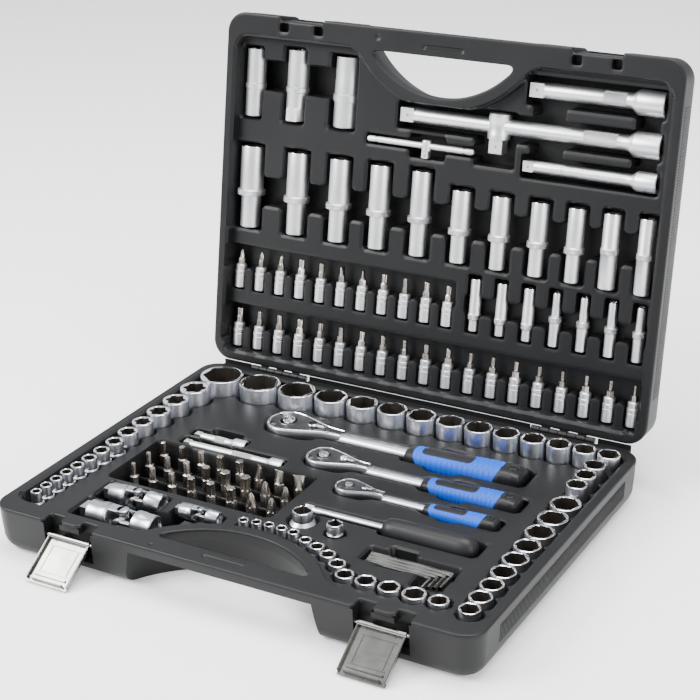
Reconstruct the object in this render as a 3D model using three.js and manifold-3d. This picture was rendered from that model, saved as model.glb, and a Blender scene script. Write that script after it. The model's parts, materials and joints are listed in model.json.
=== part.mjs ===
// Socket wrench set in a hinged, blow-moulded case, with the lid standing open.
// Units are millimetres. +X runs along the hinge, +Y goes back to the hinge and +Z is up.
// The origin is the centre of the base's flat underside.
//
// Each case half is drawn in a "half frame": its rim is the plane z = 0, its outside goes
// down to -z, and `side` is +1 for the base (hinge at +y) and -1 for the lid (hinge at -y).
import * as THREE from "three";
import { mergeVertices } from "three/addons/utils/BufferGeometryUtils.js";
import Module from "manifold-3d";

const wasm = await Module();
wasm.setup();

// ---------------------------------------------------------------- driving dimensions: case
const CASE_WIDTH = 455;
const CASE_DEPTH = 341;
const BASE_HEIGHT = 41.5;
const LID_HEIGHT = 41;
const CORNER_RADIUS = 19;
const HALF_GAP = 0.15; // each rim stops this far short of the parting plane
const TRAY_DROP = 10.5; // tool tray below the rim
const SIDE_RIM = 10.5;
const FRONT_RIM = 22;
const LID_OPEN_DEG = 99.5;

const HANDLE_CENTRE = 206; // centre of the handle's arcs, in front of the case's middle
const HANDLE_ARC = 93; // far wall of the finger opening
const TRAY_ARC = 106; // edge of the tray around it
const HANDLE_BAR_BACK = 149; // back of the bar, from the case's middle
const HANDLE_BAR_THICK = 9.5;

// The outside of a case half, as insets from its rim at heights above its flat underside.
const SHELL_PROFILE = [
  { inset: 13, above: 0 },
  { inset: 6.5, above: 1.6 },
  { inset: 3.2, above: 5 },
  { inset: 1.6, above: 11 },
];

const HINGE_SETBACK = 3.4;
const HINGE_X = 150;
const HINGE_LENGTH = 62;
const KNUCKLES = 7;
const KNUCKLE_RADIUS = 3;
const KNUCKLE_GAP = 0.4;
const PIN_RADIUS = 1.25;
const PIN_HOLE = 1.55;

const LATCH_X = 147;
const LATCH_WIDTH = 42;
const LATCH_SHEET = 1.5;
const LATCH_LENGTH = 41; // pin to hook
const LATCH_OPEN_DEG = 123; // from shut to hanging open
const LATCH_PIN_Y = 167;
const LATCH_PIN_DROP = 15;
const NOTCH_WIDTH = 48;
const NOTCH_DEPTH = 12.5;
const NOTCH_DROP = 31;
const TONGUE_WIDTH = 20; // plastic left in the middle of a notch, behind the shut latch
const TONGUE_SETBACK = 3.6;
const TONGUE_HEIGHT = 8;
const CATCH_DROP = 36; // the lid's recess for the latch, from its rim
const CATCH_WIDTH = 46;
const CATCH_DEPTH = 4.5;
const CATCH_POCKET_WIDTH = 36; // undercut that the hook turns into
const CATCH_POCKET_DROP = 17;
const CATCH_SLOT = { width: 9, depth: 15, drop: 12 }; // at each side of the latch recess
const HOOK_HEIGHT = 5.7;
const TAIL = 3; // pull tab beyond the hook
const PIN_OVERRUN = 3.5; // latch pin held in the plastic at each end of the notch

// ---------------------------------------------------------------- driving dimensions: tools
const FIT = 0.8; // space round a tool in its pocket
const FOOT_SPACE = 0.5; // space round a socket's wide foot
const TOUCH = 0.3; // space between two pieces that touch
const WEB = 2; // strip that joins the pieces of one row
const SOCKET_SIDES = 8; // facets round a standing socket and its pocket
const FOOT_TOP = -12; // wide feet of small sockets, from the rim
const BORE_SHARE = 0.34; // radius of a socket's opening as a share of its diameter
const ABOVE_RIM = 2; // pocket cutters end this far above the rim

// Outer diameters of the standing sockets, from one end of each row to the other.
const BACK_ROW = [42, 40, 36.5, 32, 30, 28.5, 28, 26.5, 26, 24.5, 23, 22.5, 21, 20.5];
const STAR_ROW = [28.5, 25, 22.5, 20, 19, 16.5, 15, 14, 12.5, 11.5, 11, 10.5, 10];
const RIGHT_ROW = [20, 19.5, 19, 27, 26.5, 25.5, 23, 22.5, 21.5, 20, 19.5, 18];
const FRONT_ROW = [9, 9, 9, 9.5, 10, 11, 12.5, 13.5, 14.5, 16, 17.5, 18.5, 20, 17];

// Lying rows in the lid, as distances from the hinge axis.
const DEEP_ROW = { bottom: 137, top: -3.4, longest: 80, shorter: 68, longCount: 5 };
const DEEP_DIAMETERS = [27.4, 25.3, 24.5, 23.5, 22.5, 21.5, 20.5, 19.5, 18.5, 16.5, 15.5];
const DEEP_X = [-202.6, -150.5, -104, -60.5, -17, 25, 65, 103, 138.5, 172, 205];
const DEEP_SIDE_GAP = 2.2; // room for a finger at the right of each deep socket
const QUARTER_DEEP = { bottom: 75, from: 46, to: 206, top: -10, length: 50, diameter: 12, count: 7 };
const BITS_UPPER = { bottom: 75, from: -209, to: 18.5, top: -10, length: 38, diameter: 12, count: 11 };
const BITS_LOWER = { bottom: 15.5, from: -208, to: 208, top: -10, length: 38, diameter: 12, count: 19 };
const SPARK_PLUG = [
  { x: -204, diameter: 20, length: 64 },
  { x: -158, diameter: 22, length: 67 },
  { x: -105, diameter: 27, length: 66 },
];
const SPARK_PLUG_BOTTOM = 246;

const BIT_RACK = { x0: -182, x1: -16, y0: -64, y1: 15, floor: -36.5 };
const BITS = { x0: -174, x1: -29.5, y0: -38.5, y1: 8.5, columns: 8, rows: 3 };
const BIT_RADIUS = 3.7;
const BIT_HEIGHT = 28.5;

const RATCHETS = [
  { name: "half_inch", k: 1, x0: -114, x1: 147, y: 97, z: -14, drive: 12.7 },
  { name: "three_eighth", k: 0.8, x0: -45, x1: 163, y: 50, z: -13.2, drive: 9.5 },
  { name: "quarter", k: 0.6, x0: 7, x1: 161, y: 10, z: -12.4, drive: 6.35 },
];
const JOINT_TOP = -3; // from the rim
const JOINTS = [
  { name: "half_inch", k: 1, x: -127, y: -119, drive: 12.7 },
  { name: "three_eighth", k: 0.8, x: -136, y: -85, drive: 9.5 },
  { name: "quarter", k: 0.58, x: -69, y: -88.5, drive: 6.35 },
];

// ---------------------------------------------------------------- values that follow
const HALF_W = CASE_WIDTH / 2;
const HALF_D = CASE_DEPTH / 2;
const HINGE_Y = HALF_D + HINGE_SETBACK;
const RIM_Z = BASE_HEIGHT;

// ---------------------------------------------------------------- solids
// A closed three.js geometry as a solid that can be joined and cut.
function solid(geometry) {
  const bare = geometry.index ? geometry.toNonIndexed() : geometry.clone();
  for (const key of Object.keys(bare.attributes)) {
    if (key !== "position") bare.deleteAttribute(key);
  }
  const merged = mergeVertices(bare, 1e-4);
  return new wasm.Manifold(
    new wasm.Mesh({
      numProp: 3,
      vertProperties: merged.attributes.position.array,
      triVerts: new Uint32Array(merged.index.array),
    }),
  );
}

const union = (parts) => parts.reduce((a, b) => a.add(b));

function box(x0, x1, y0, y1, z0, z1) {
  const g = new THREE.BoxGeometry(x1 - x0, y1 - y0, z1 - z0);
  return solid(g.translate((x0 + x1) / 2, (y0 + y1) / 2, (z0 + z1) / 2));
}

// A bar from one point along +X, +Y or +Z. Its section is a regular polygon of that radius.
function bar(axis, x, y, z, radius, length, sides = 12) {
  const g = new THREE.CylinderGeometry(radius, radius, length, sides);
  g.translate(0, length / 2, 0);
  if (axis === "x") g.rotateZ(-Math.PI / 2);
  if (axis === "z") g.rotateX(Math.PI / 2);
  return solid(g.translate(x, y, z));
}

function prism(shape, z0, z1, curveSegments = 2) {
  const g = new THREE.ExtrudeGeometry(shape, { depth: z1 - z0, bevelEnabled: false, curveSegments });
  return solid(g.translate(0, 0, z0));
}

function roundedRect(x0, x1, y0, y1, r) {
  const s = new THREE.Shape();
  s.moveTo(x0 + r, y0);
  s.lineTo(x1 - r, y0);
  s.absarc(x1 - r, y0 + r, r, -Math.PI / 2, 0);
  s.lineTo(x1, y1 - r);
  s.absarc(x1 - r, y1 - r, r, 0, Math.PI / 2);
  s.lineTo(x0 + r, y1);
  s.absarc(x0 + r, y1 - r, r, Math.PI / 2, Math.PI);
  s.lineTo(x0, y0 + r);
  s.absarc(x0 + r, y0 + r, r, Math.PI, 1.5 * Math.PI);
  return s;
}

// A pocket cutter with plain corners, or with corners of radius r.
function slot(x0, x1, y0, y1, z0, z1, r = 0) {
  if (r === 0) return box(x0, x1, y0, y1, z0, z1);
  return prism(roundedRect(x0, x1, y0, y1, r), z0, z1, 1);
}

// A closed skin through rings of equal point counts, capped flat at both ends.
function loft(rings) {
  const n = rings[0].length;
  const points = rings.flat();
  const faces = [];
  for (let k = 0; k + 1 < rings.length; k++) {
    for (let i = 0; i < n; i++) {
      const a = k * n + i;
      const b = k * n + ((i + 1) % n);
      faces.push(a, b, b + n, a, b + n, a + n);
    }
  }
  const last = (rings.length - 1) * n;
  for (let i = 1; i + 1 < n; i++) faces.push(0, i + 1, i, last, last + i, last + i + 1);
  const g = new THREE.BufferGeometry();
  g.setAttribute("position", new THREE.Float32BufferAttribute(points.flat(), 3));
  g.setIndex(faces);
  return solid(g);
}

function rimRing(inset, z) {
  const w = HALF_W - inset;
  const d = HALF_D - inset;
  const outline = roundedRect(-w, w, -d, d, Math.max(CORNER_RADIUS - inset / 2, 8)).getPoints(2);
  const same = (a, b) => a.distanceTo(b) < 1e-3;
  const points = outline.filter((p, i) => i === 0 || !same(p, outline[i - 1]));
  if (same(points[0], points[points.length - 1])) points.pop();
  return points.map((p) => [p.x, p.y, z]);
}

// ---------------------------------------------------------------- pieces and pockets
const root = new THREE.Group();
const lid = new THREE.Group(); // half frame of the lid
const basePockets = [];
const lidPockets = [];

function material(color, roughness, metalness) {
  return new THREE.MeshStandardMaterial({ color, roughness, metalness });
}
const PLASTIC = material(0x3b3d3f, 0.62, 0);
const SATIN_CHROME = material(0xb9bcc0, 0.28, 1);
const BRIGHT_CHROME = material(0xd8dadd, 0.12, 1);
const DARK_STEEL = material(0x6b655e, 0.35, 1);
const NICKEL = material(0xc9c4b8, 0.25, 1);
const BLACK_GRIP = material(0x151617, 0.7, 0);
const BLUE_GRIP = material(0x1557c8, 0.55, 0);

function place(name, shape, finish, group) {
  const m = shape.getMesh();
  const g = new THREE.BufferGeometry();
  const xyz = new Float32Array(m.numVert * 3);
  for (let i = 0; i < m.numVert; i++) {
    for (let j = 0; j < 3; j++) xyz[3 * i + j] = m.vertProperties[i * m.numProp + j];
  }
  g.setAttribute("position", new THREE.BufferAttribute(xyz, 3));
  g.setIndex(new THREE.BufferAttribute(m.triVerts, 1));
  g.computeVertexNormals();
  const mesh = new THREE.Mesh(g, finish);
  mesh.name = name;
  group.add(mesh);
}

// The base's half frame is only raised, so its pieces go in one group at rim height.
const base = new THREE.Group();
base.position.z = RIM_Z;
root.add(base);

// A socket that stands on its drive end: a round body with a hexagonal opening in its top.
// A small socket has a wider foot, of that radius, that ends just below the tray.
function standingSocket({ x, y, d, top, length, foot }) {
  const body = bar("z", x, y, top - length, d / 2, length, SOCKET_SIDES);
  const bore = bar("z", x, y, top - length * 0.55, d * BORE_SHARE, length, 6);
  const bored = body.subtract(bore);
  if (!foot) return bored;
  return bored.add(bar("z", x, y, top - length, foot, FOOT_TOP - top + length, SOCKET_SIDES));
}

// Centres of a row of sockets along a line of that length, with equal gaps between them.
function spread(diameters, total) {
  const used = diameters.reduce((a, b) => a + b, 0);
  const gap = (total - used) / (diameters.length - 1);
  const places = [];
  let run = 0;
  for (const d of diameters) {
    places.push(run + d / 2);
    run += d + gap;
  }
  return places;
}

// One row as one piece: its sockets, and the thin strip on the tray that joins them.
function standingRow(name, sockets) {
  const stripHeight = 1.2;
  const bite = 0.42; // the strip starts inside each socket, at this share of its diameter
  const parts = sockets.map(standingSocket);
  const web = [];
  for (let i = 0; i + 1 < sockets.length; i++) {
    const a = sockets[i];
    const b = sockets[i + 1];
    const dx = b.x - a.x;
    const dy = b.y - a.y;
    const reach = Math.hypot(dx, dy);
    const length = reach - (a.d + b.d) * bite;
    const g = new THREE.BoxGeometry(length, WEB, stripHeight);
    g.translate(a.d * bite + length / 2, 0, 0);
    g.rotateZ(Math.atan2(dy, dx));
    web.push(solid(g.translate(a.x, a.y, -TRAY_DROP + TOUCH + stripHeight / 2)));
  }
  place(name, union([...parts, ...web]), SATIN_CHROME, base);
  for (const s of sockets) {
    const floor = s.top - s.length - TOUCH;
    const r = s.foot ? s.foot + FOOT_SPACE : s.d / 2 + FIT;
    basePockets.push(bar("z", s.x, s.y, floor, r, ABOVE_RIM - floor, SOCKET_SIDES));
  }
}

const BACK_WALL = HALF_D - SIDE_RIM;
const WALL_SPACE = 1.2; // between the tray's wall and the sockets next to it
const backSpan = 2 * (HALF_W - SIDE_RIM) - 5;
const backX = spread(BACK_ROW, backSpan).map((t) => t - backSpan / 2);
standingRow(
  "half_inch_socket_row",
  BACK_ROW.map((d, i) => {
    const length = d > 38 ? 42 : 38;
    return { x: backX[i], y: BACK_WALL - WALL_SPACE - d / 2, d, top: 4.2, length };
  }),
);

const STAR_FROM = 116;
const STAR_TO = -136;
const starY = spread(STAR_ROW, STAR_FROM - STAR_TO);
standingRow(
  "star_socket_row",
  STAR_ROW.map((d, i) => {
    const t = i / (STAR_ROW.length - 1);
    const top = 3.5 - 4.5 * Math.min(1, t * 2);
    const length = i < 5 ? 38 : i < 9 ? 29 : 25;
    const foot = i < 5 ? 0 : d / 2 + 1.2;
    const x = -HALF_W + SIDE_RIM + 1.5 + Math.max(foot, d / 2);
    return { x, y: STAR_FROM - starY[i], d, top, length, foot };
  }),
);

const RIGHT_FROM = 137;
const RIGHT_TO = -134;
const rightY = spread(RIGHT_ROW, RIGHT_FROM - RIGHT_TO);
standingRow(
  "three_eighth_socket_row",
  RIGHT_ROW.map((d, i) => ({
    x: 199.5,
    y: RIGHT_FROM - rightY[i],
    d,
    top: i < 3 ? 2.5 : -5,
    length: i < 3 ? 38 : 28,
  })),
);

// The front row goes round the handle on an arc, and then straight along the front.
const ARC_ROW_RADIUS = TRAY_ARC + 17;
const ARC_ROW_FROM = THREE.MathUtils.degToRad(105);
const FRONT_ROW_Y = -HALF_D + FRONT_RIM + 27.5;
const FRONT_ROW_END = 180;
const arcEnd = Math.asin((HANDLE_CENTRE + FRONT_ROW_Y) / ARC_ROW_RADIUS);
const arcLength = (ARC_ROW_FROM - arcEnd) * ARC_ROW_RADIUS;
const straightFrom = ARC_ROW_RADIUS * Math.cos(arcEnd);
function frontPath(t) {
  if (t > arcLength) return [straightFrom + t - arcLength, FRONT_ROW_Y];
  const a = ARC_ROW_FROM - t / ARC_ROW_RADIUS;
  return [ARC_ROW_RADIUS * Math.cos(a), -HANDLE_CENTRE + ARC_ROW_RADIUS * Math.sin(a)];
}
const frontT = spread(FRONT_ROW, arcLength + FRONT_ROW_END - straightFrom);
standingRow(
  "quarter_socket_row",
  FRONT_ROW.map((d, i) => {
    const [x, y] = frontPath(frontT[i]);
    return { x, y, d, top: i < 5 ? -5 : -7.5, length: 25 };
  }),
);

// Driver bits stand in a recessed rack: hex shanks on three strips, with one strip across.
{
  const rack = BIT_RACK;
  const dx = (BITS.x1 - BITS.x0) / (BITS.columns - 1);
  const dy = (BITS.y1 - BITS.y0) / (BITS.rows - 1);
  const stripTop = rack.floor + WEB;
  const bits = [];
  for (let r = 0; r < BITS.rows; r++) {
    const y = BITS.y0 + r * dy;
    bits.push(box(rack.x0 + 2, rack.x1 - 2, y - 5, y + 5, rack.floor, stripTop));
    for (let c = 0; c < BITS.columns; c++) {
      const x = BITS.x0 + c * dx;
      bits.push(bar("z", x, y, rack.floor + 0.5, BIT_RADIUS, BIT_HEIGHT - 0.5, 6));
    }
  }
  const mid = (rack.x0 + rack.x1) / 2;
  bits.push(box(mid - 3, mid + 3, BITS.y0, BITS.y1, rack.floor, stripTop));
  place("driver_bits", union(bits), DARK_STEEL, base);
  basePockets.push(slot(rack.x0, rack.x1, rack.y0, rack.y1, rack.floor - TOUCH, ABOVE_RIM, 3));
}

// Two drive adapters stand in front of the ratchets: a square hole in a stepped round body.
const ADAPTERS = [
  { name: "adapter_large", x: 12, y: -56, r: 8.5, foot: 11.5, h: 34 },
  { name: "adapter_small", x: 47, y: -63, r: 6.8, foot: 7, h: 28 },
];
for (const a of ADAPTERS) {
  const top = -1;
  const body = bar("z", a.x, a.y, top - a.h, a.foot, a.h * 0.7, 14);
  const neck = bar("z", a.x, a.y, top - a.h, a.r, a.h, 14);
  const hole = bar("z", a.x, a.y, top - 14, a.r * 0.75, 14 + ABOVE_RIM, 4);
  place(a.name, body.add(neck).subtract(hole), SATIN_CHROME, base);
  const floor = top - a.h - TOUCH;
  basePockets.push(bar("z", a.x, a.y, floor, a.foot + FIT, ABOVE_RIM - floor, 16));
}

// Hex keys lie nested: long arms side by side, each with a short arm turned towards the front.
const HEX_KEYS = { count: 4, x: 160, y: -72, z: -15, long: 74, short: 24, step: 4.6, thin: 1.3 };
{
  const { x, y, z, step } = HEX_KEYS;
  const keys = [];
  for (let i = 0; i < HEX_KEYS.count; i++) {
    const t = HEX_KEYS.thin + 0.25 * (HEX_KEYS.count - 1 - i);
    const x1 = x - i * step;
    const y1 = y - i * step * 0.9;
    keys.push(box(x1 - HEX_KEYS.long + i * 5, x1 + t, y1 - t, y1 + t, z - t, z + t));
    keys.push(box(x1 - t, x1 + t, y1 - HEX_KEYS.short + i * 2.5, y1, z - t, z + t));
  }
  keys.push(box(x - 16, x + 1, y - 14, y + 1, z - 1, z - 0.4)); // the strip that joins them
  place("hex_keys", union(keys), BRIGHT_CHROME, base);
  basePockets.push(
    slot(x - 76, x + 5, y - 17, y + 5, z - 3, ABOVE_RIM, 3),
    slot(x - 22, x + 5, y - 34, y - 8, z - 3, ABOVE_RIM, 3),
  );
}

// ---------------------------------------------------------------- ratchets
// Half outline of a full-size head: distance from its nose, and half width there.
const HEAD_OUTLINE = [
  [2, 9],
  [9, 17],
  [21, 20.5],
  [36, 18.5],
  [50, 13],
  [62, 7.5],
  [78, 6.5],
];
// Sections of a grip: share of its length, and of its full width.
const GRIP_STATIONS = [
  [0, 0.62],
  [0.08, 0.82],
  [0.7, 1],
  [0.92, 0.93],
  [1, 0.55],
];
const GRIP_HALF_WIDTH = 15;
const GRIP_HALF_HEIGHT = 12.5;
const GRIP_SIDES = 10;

// `k` scales the sections of the two smaller ratchets. x0 is the nose, x1 the grip's end.
function ratchet({ name, k, x0, x1, y, z, drive }) {
  const headTop = -6;
  const headBottom = headTop - 16 * k;
  const pivot = x0 + 21 * k;
  const outline = new THREE.Shape();
  outline.moveTo(x0, y);
  for (const [dx, w] of HEAD_OUTLINE) outline.lineTo(x0 + dx * k, y + w * k);
  for (const [dx, w] of HEAD_OUTLINE.toReversed()) outline.lineTo(x0 + dx * k, y - w * k);
  const gripFrom = x0 + (x1 - x0) * 0.56;
  const shaft = bar("x", x0 + 60 * k, y, z, 7 * k, gripFrom - x0, 8);
  const buttonHole = bar("z", pivot, y, headTop - 8 * k, 6.6 * k, 20, 12);
  const leverHole = bar("z", pivot + 26 * k, y, headTop - 5 * k, 2.5 * k, 20, 8);
  const driveHole = bar("z", pivot, y, headBottom - 5, 9.3 * k, 5 + 3.3 * k, 12);
  const body = prism(outline, headBottom, headTop).add(shaft);
  const cut = body.subtract(buttonHole).subtract(leverHole).subtract(driveHole);
  place(name + "_ratchet_body", cut, SATIN_CHROME, base);

  // The grip is moulded round the shaft's end, with a hole at its own end to hang it by.
  const length = x1 - gripFrom;
  const rings = GRIP_STATIONS.map(([t, s]) => {
    const ring = [];
    for (let i = 0; i < GRIP_SIDES; i++) {
      const a = (2 * Math.PI * i) / GRIP_SIDES;
      const across = GRIP_HALF_WIDTH * k * s * Math.cos(a);
      const up = GRIP_HALF_HEIGHT * k * s * Math.sin(a);
      ring.push([gripFrom + t * length, y + across, z + up]);
    }
    return ring;
  });
  const tang = bar("x", gripFrom - 5, y, z, 7 * k + TOUCH + 0.1, 5 + 60 * k + TOUCH, 8);
  const hang = bar("z", x1 - 11 * k, y, z - 20, 2.6 * k, 40, 8);
  place(name + "_ratchet_grip", loft(rings).subtract(tang).subtract(hang), BLUE_GRIP, base);

  const square = (drive / 2) * Math.SQRT2;
  const collar = bar("z", pivot, y, headBottom, 9 * k, 3 * k, 12);
  const peg = solid(
    new THREE.CylinderGeometry(square, square, 15 * k, 4)
      .rotateX(Math.PI / 2)
      .rotateZ(Math.PI / 4)
      .translate(pivot, y, headBottom - 7.5 * k + 0.5),
  );
  place(name + "_ratchet_drive", collar.add(peg), SATIN_CHROME, base);

  const buttonTop = headTop + 2.2 * k;
  const button = bar("z", pivot, y, headTop - 5 * k, 6.2 * k, buttonTop - headTop + 5 * k, 12);
  place(name + "_release_button", button, BRIGHT_CHROME, base);

  const leverX = pivot + 26 * k;
  const boss = bar("z", leverX, y, headTop + TOUCH, 4.6 * k, 2.4 * k, 10);
  const stem = bar("z", leverX, y, headTop - 4 * k, 2.1 * k, 5 * k, 8);
  const thumb = box(
    leverX,
    leverX + 13 * k,
    y - 2.2 * k,
    y + 2.2 * k,
    headTop + TOUCH,
    headTop + TOUCH + 2.4 * k,
  );
  place(name + "_reverse_lever", union([boss, stem, thumb]), BRIGHT_CHROME, base);

  const low = z - GRIP_HALF_HEIGHT * k - TOUCH;
  basePockets.push(
    slot(x0 - 1, x0 + 66 * k, y - 21.5 * k, y + 21.5 * k, headBottom - TOUCH, ABOVE_RIM, 12 * k),
    slot(pivot - 10 * k, pivot + 10 * k, y - 10 * k, y + 10 * k, headBottom - 15.6 * k, ABOVE_RIM, 3),
    slot(x0 + 40 * k, gripFrom + 4, y - 9.5 * k, y + 9.5 * k, z - 9 * k, ABOVE_RIM),
    slot(gripFrom - 2, x1 + 3, y - 16 * k, y + 16 * k, low, ABOVE_RIM, 6 * k),
  );
}
RATCHETS.forEach(ratchet);

// ---------------------------------------------------------------- spinner handle
{
  const y = -34;
  const z = -12.5;
  const radius = 3.4;
  const shaft = bar("x", 10, y, z, radius, 86, 10);
  const peg = solid(
    new THREE.CylinderGeometry(4.4, 4.4, 10, 4).rotateZ(Math.PI / 2).translate(7, y, z),
  );
  place("spinner_shaft", shaft.add(peg), SATIN_CHROME, base);
  const rings = [
    [78, 7],
    [82, 10],
    [156, 11],
    [163, 5.5],
  ].map(([x, r]) => {
    const ring = [];
    for (let i = 0; i < 12; i++) {
      const a = (2 * Math.PI * i) / 12;
      ring.push([x, y + r * Math.cos(a), z + r * Math.sin(a)]);
    }
    return ring;
  });
  const tang = bar("x", 70, y, z, radius + TOUCH + 0.1, 26.5, 10);
  place("spinner_grip", loft(rings).subtract(tang), BLACK_GRIP, base);
  basePockets.push(
    slot(0.5, 90, y - 6, y + 6, z - 6, ABOVE_RIM),
    slot(76, 166, y - 12, y + 12, z - 11.6, ABOVE_RIM, 4),
  );
}

// ---------------------------------------------------------------- universal joints
// Fork, cross and fork: the cross turns in the first fork about Y and in the second about Z.
// An ear's `across` is the axis its pin hole is on; `dir` is the end of the joint it points away from.
// It is drawn with its drive end at +X, and then turned round to lie with that end at the left.
function universalJoint({ name, k, x, y, drive }) {
  const z = JOINT_TOP - 12 * k;
  const reach = 33 * k;
  const face = 12.5 * k;
  const ear = (across, along, dir) => {
    const flat = across === "y";
    const g = new THREE.CylinderGeometry(5.5 * k, 5.5 * k, 4 * k, 8);
    if (!flat) g.rotateX(Math.PI / 2);
    const round = solid(g);
    const arm = flat
      ? box(0, face + 0.5, -2 * k, 2 * k, -5.5 * k, 5.5 * k)
      : box(0, face + 0.5, -5.5 * k, 5.5 * k, -2 * k, 2 * k);
    const whole = round.add(arm);
    const turned = dir < 0 ? whole.rotate([0, 0, 180]) : whole;
    const off = 9 * k * along;
    return flat ? turned.translate([0, off, 0]) : turned.translate([0, 0, off]);
  };
  const fork = (across, dir) => {
    const x0 = dir < 0 ? -reach : face;
    const body = bar("x", x0, 0, 0, 12 * k, reach - face, 10);
    return union([body, ear(across, 1, dir), ear(across, -1, dir)]);
  };
  const holeY = bar("y", 0, -20 * k, 0, 2.5 * k + TOUCH, 40 * k, 8);
  const holeZ = bar("z", 0, 0, -20 * k, 2.5 * k + TOUCH, 40 * k, 8);
  const squareHole = solid(
    new THREE.CylinderGeometry(drive * 0.72, drive * 0.72, 16 * k, 4)
      .rotateY(Math.PI / 4)
      .rotateZ(Math.PI / 2)
      .translate(-reach + 7 * k, 0, 0),
  );
  const squarePeg = solid(
    new THREE.CylinderGeometry(drive * 0.68, drive * 0.68, 10 * k, 4)
      .rotateY(Math.PI / 4)
      .rotateZ(Math.PI / 2)
      .translate(reach + 4 * k, 0, 0),
  );
  const lay = (shape) => shape.rotate([0, 0, 180]).translate([x, y, z]);
  const first = fork("y", -1).subtract(holeY).subtract(squareHole);
  const second = fork("z", 1).subtract(holeZ).add(squarePeg);
  const core = box(-4 * k, 4 * k, -4 * k, 4 * k, -4 * k, 4 * k);
  const pinY = bar("y", 0, -10.6 * k, 0, 2.5 * k, 21.2 * k, 8);
  const pinZ = bar("z", 0, 0, -10.6 * k, 2.5 * k, 21.2 * k, 8);
  place(name + "_joint_socket_fork", lay(first), SATIN_CHROME, base);
  place(name + "_joint_cross", lay(union([core, pinY, pinZ])), DARK_STEEL, base);
  place(name + "_joint_drive_fork", lay(second), SATIN_CHROME, base);
  basePockets.push(
    slot(x - 6, x + reach + 1, y - 12 * k - 1, y + 12 * k + 1, z - 12 * k - 0.5, ABOVE_RIM),
    slot(x - reach - 12 * k, x + 4, y - 12 * k - 5, y + 12 * k + 5, z - 12 * k - 0.5, ABOVE_RIM, 4),
  );
}
JOINTS.forEach(universalJoint);
// Finger recesses between the joints and at the right of the largest.
basePockets.push(
  slot(-160, -84, -109, -97, -20, ABOVE_RIM, 4),
  slot(-96, -78, -130, -97, -20, ABOVE_RIM, 4),
);

// ---------------------------------------------------------------- extension bars
// A round bar along X with a square drive at its left end and a socket at its right end.
function extension(name, x0, x1, y, z, r, socketR, group) {
  const parts = [
    bar("x", x0 + 2 * r, y, z, r, x1 - x0 - 2 * r, 8),
    bar("x", x1 - 3.2 * r, y, z, socketR, 3.2 * r, 10),
    solid(
      new THREE.CylinderGeometry(r * 1.05, r * 1.05, 2 * r + 1, 4)
        .rotateY(Math.PI / 4)
        .rotateZ(Math.PI / 2)
        .translate(x0 + r + 0.5, y, z),
    ),
  ];
  const hole = solid(
    new THREE.CylinderGeometry(socketR * 0.72, socketR * 0.72, 2.4 * r, 4)
      .rotateY(Math.PI / 4)
      .rotateZ(Math.PI / 2)
      .translate(x1 - 1.1 * r, y, z),
  );
  place(name, union(parts).subtract(hole), SATIN_CHROME, group);
}
extension("quarter_extension_100", -164, -58, 28, -15, 3.6, 5.8, base);
extension("quarter_extension_50", -164, -108, 46, -15, 3.6, 5.8, base);
basePockets.push(
  slot(-166, -56, 28 - 7, 28 + 7, -21.2, ABOVE_RIM, 2),
  slot(-166, -106, 46 - 7, 46 + 7, -21.2, ABOVE_RIM, 2),
  slot(-150, -118, 18, 60, -23, ABOVE_RIM, 3), // finger recess across both
);

// ---------------------------------------------------------------- lid contents
// Lid pieces are placed in its half frame, where y is the distance from the hinge less HINGE_Y.
const lidY = (v) => v - HINGE_Y;

// A sliding bar with its T-slider, which runs `travel` each way. The large one has a socket end.
function slidingBar(name, x0, x1, v, r, socketR, sliderX, drive, travel) {
  const y = lidY(v);
  const z = -7.5 - Math.max(socketR, r * 1.5);
  if (socketR > r) {
    extension(name + "_bar", x0, x1, y, z, r, socketR, lid);
  } else {
    place(name + "_bar", bar("x", x0, y, z, r, x1 - x0, 10), SATIN_CHROME, lid);
  }
  const head = bar("y", sliderX, y - 1.75 * r, z, r * 1.5, 3.5 * r, 10);
  const peg = solid(
    new THREE.CylinderGeometry(drive * 0.7, drive * 0.7, drive + 2, 4)
      .rotateY(Math.PI / 4)
      .translate(sliderX, y - 1.75 * r - drive / 2, z),
  );
  const hole = bar("x", sliderX - 30, y, z, r + TOUCH, 60, 8);
  place(name + "_slider", head.subtract(hole).add(peg.subtract(hole)), SATIN_CHROME, lid);
  const low = z - Math.max(socketR, r * 1.5) - TOUCH;
  const reach = r * 1.5 + travel + 1;
  lidPockets.push(
    slot(x0 - 1.5, x1 + 1.5, y - socketR - 1.2, y + socketR + 1.2, low, ABOVE_RIM, 2),
    box(sliderX - reach, sliderX + reach, y - 1.75 * r - drive - 2, y + 1.75 * r + 1.5, low, 2),
  );
}
slidingBar("half_inch_slide", -44, 208.5, 266.5, 7, 11.5, 54, 12.7, 9);
slidingBar("quarter_slide", -75, 34, 240.5, 3, 3, -14, 6.35, 7);

const LONG_EXTENSIONS = [
  { name: "half_inch_extension_125", x0: 82, x1: 208.5, v: 303, r: 7, socketR: 11.5 },
  { name: "three_eighth_extension_125", x0: 82, x1: 208.5, v: 235, r: 5.4, socketR: 9 },
];
for (const e of LONG_EXTENSIONS) {
  const z = -7.5 - e.socketR;
  const y = lidY(e.v);
  extension(e.name, e.x0, e.x1, y, z, e.r, e.socketR, lid);
  const s = e.socketR + 1.2;
  lidPockets.push(slot(e.x0 - 1.5, e.x1 + 1.5, y - s, y + s, z - s + 0.6, ABOVE_RIM, 2));
}
// Finger recesses beside the bars, between their pockets.
lidPockets.push(
  slot(88, 119, lidY(224), lidY(312), -30, ABOVE_RIM, 4),
  slot(184, 206, lidY(224), lidY(312), -30, ABOVE_RIM, 4),
  slot(-60, -30, lidY(236), lidY(268), -22, ABOVE_RIM, 4),
);

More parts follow.
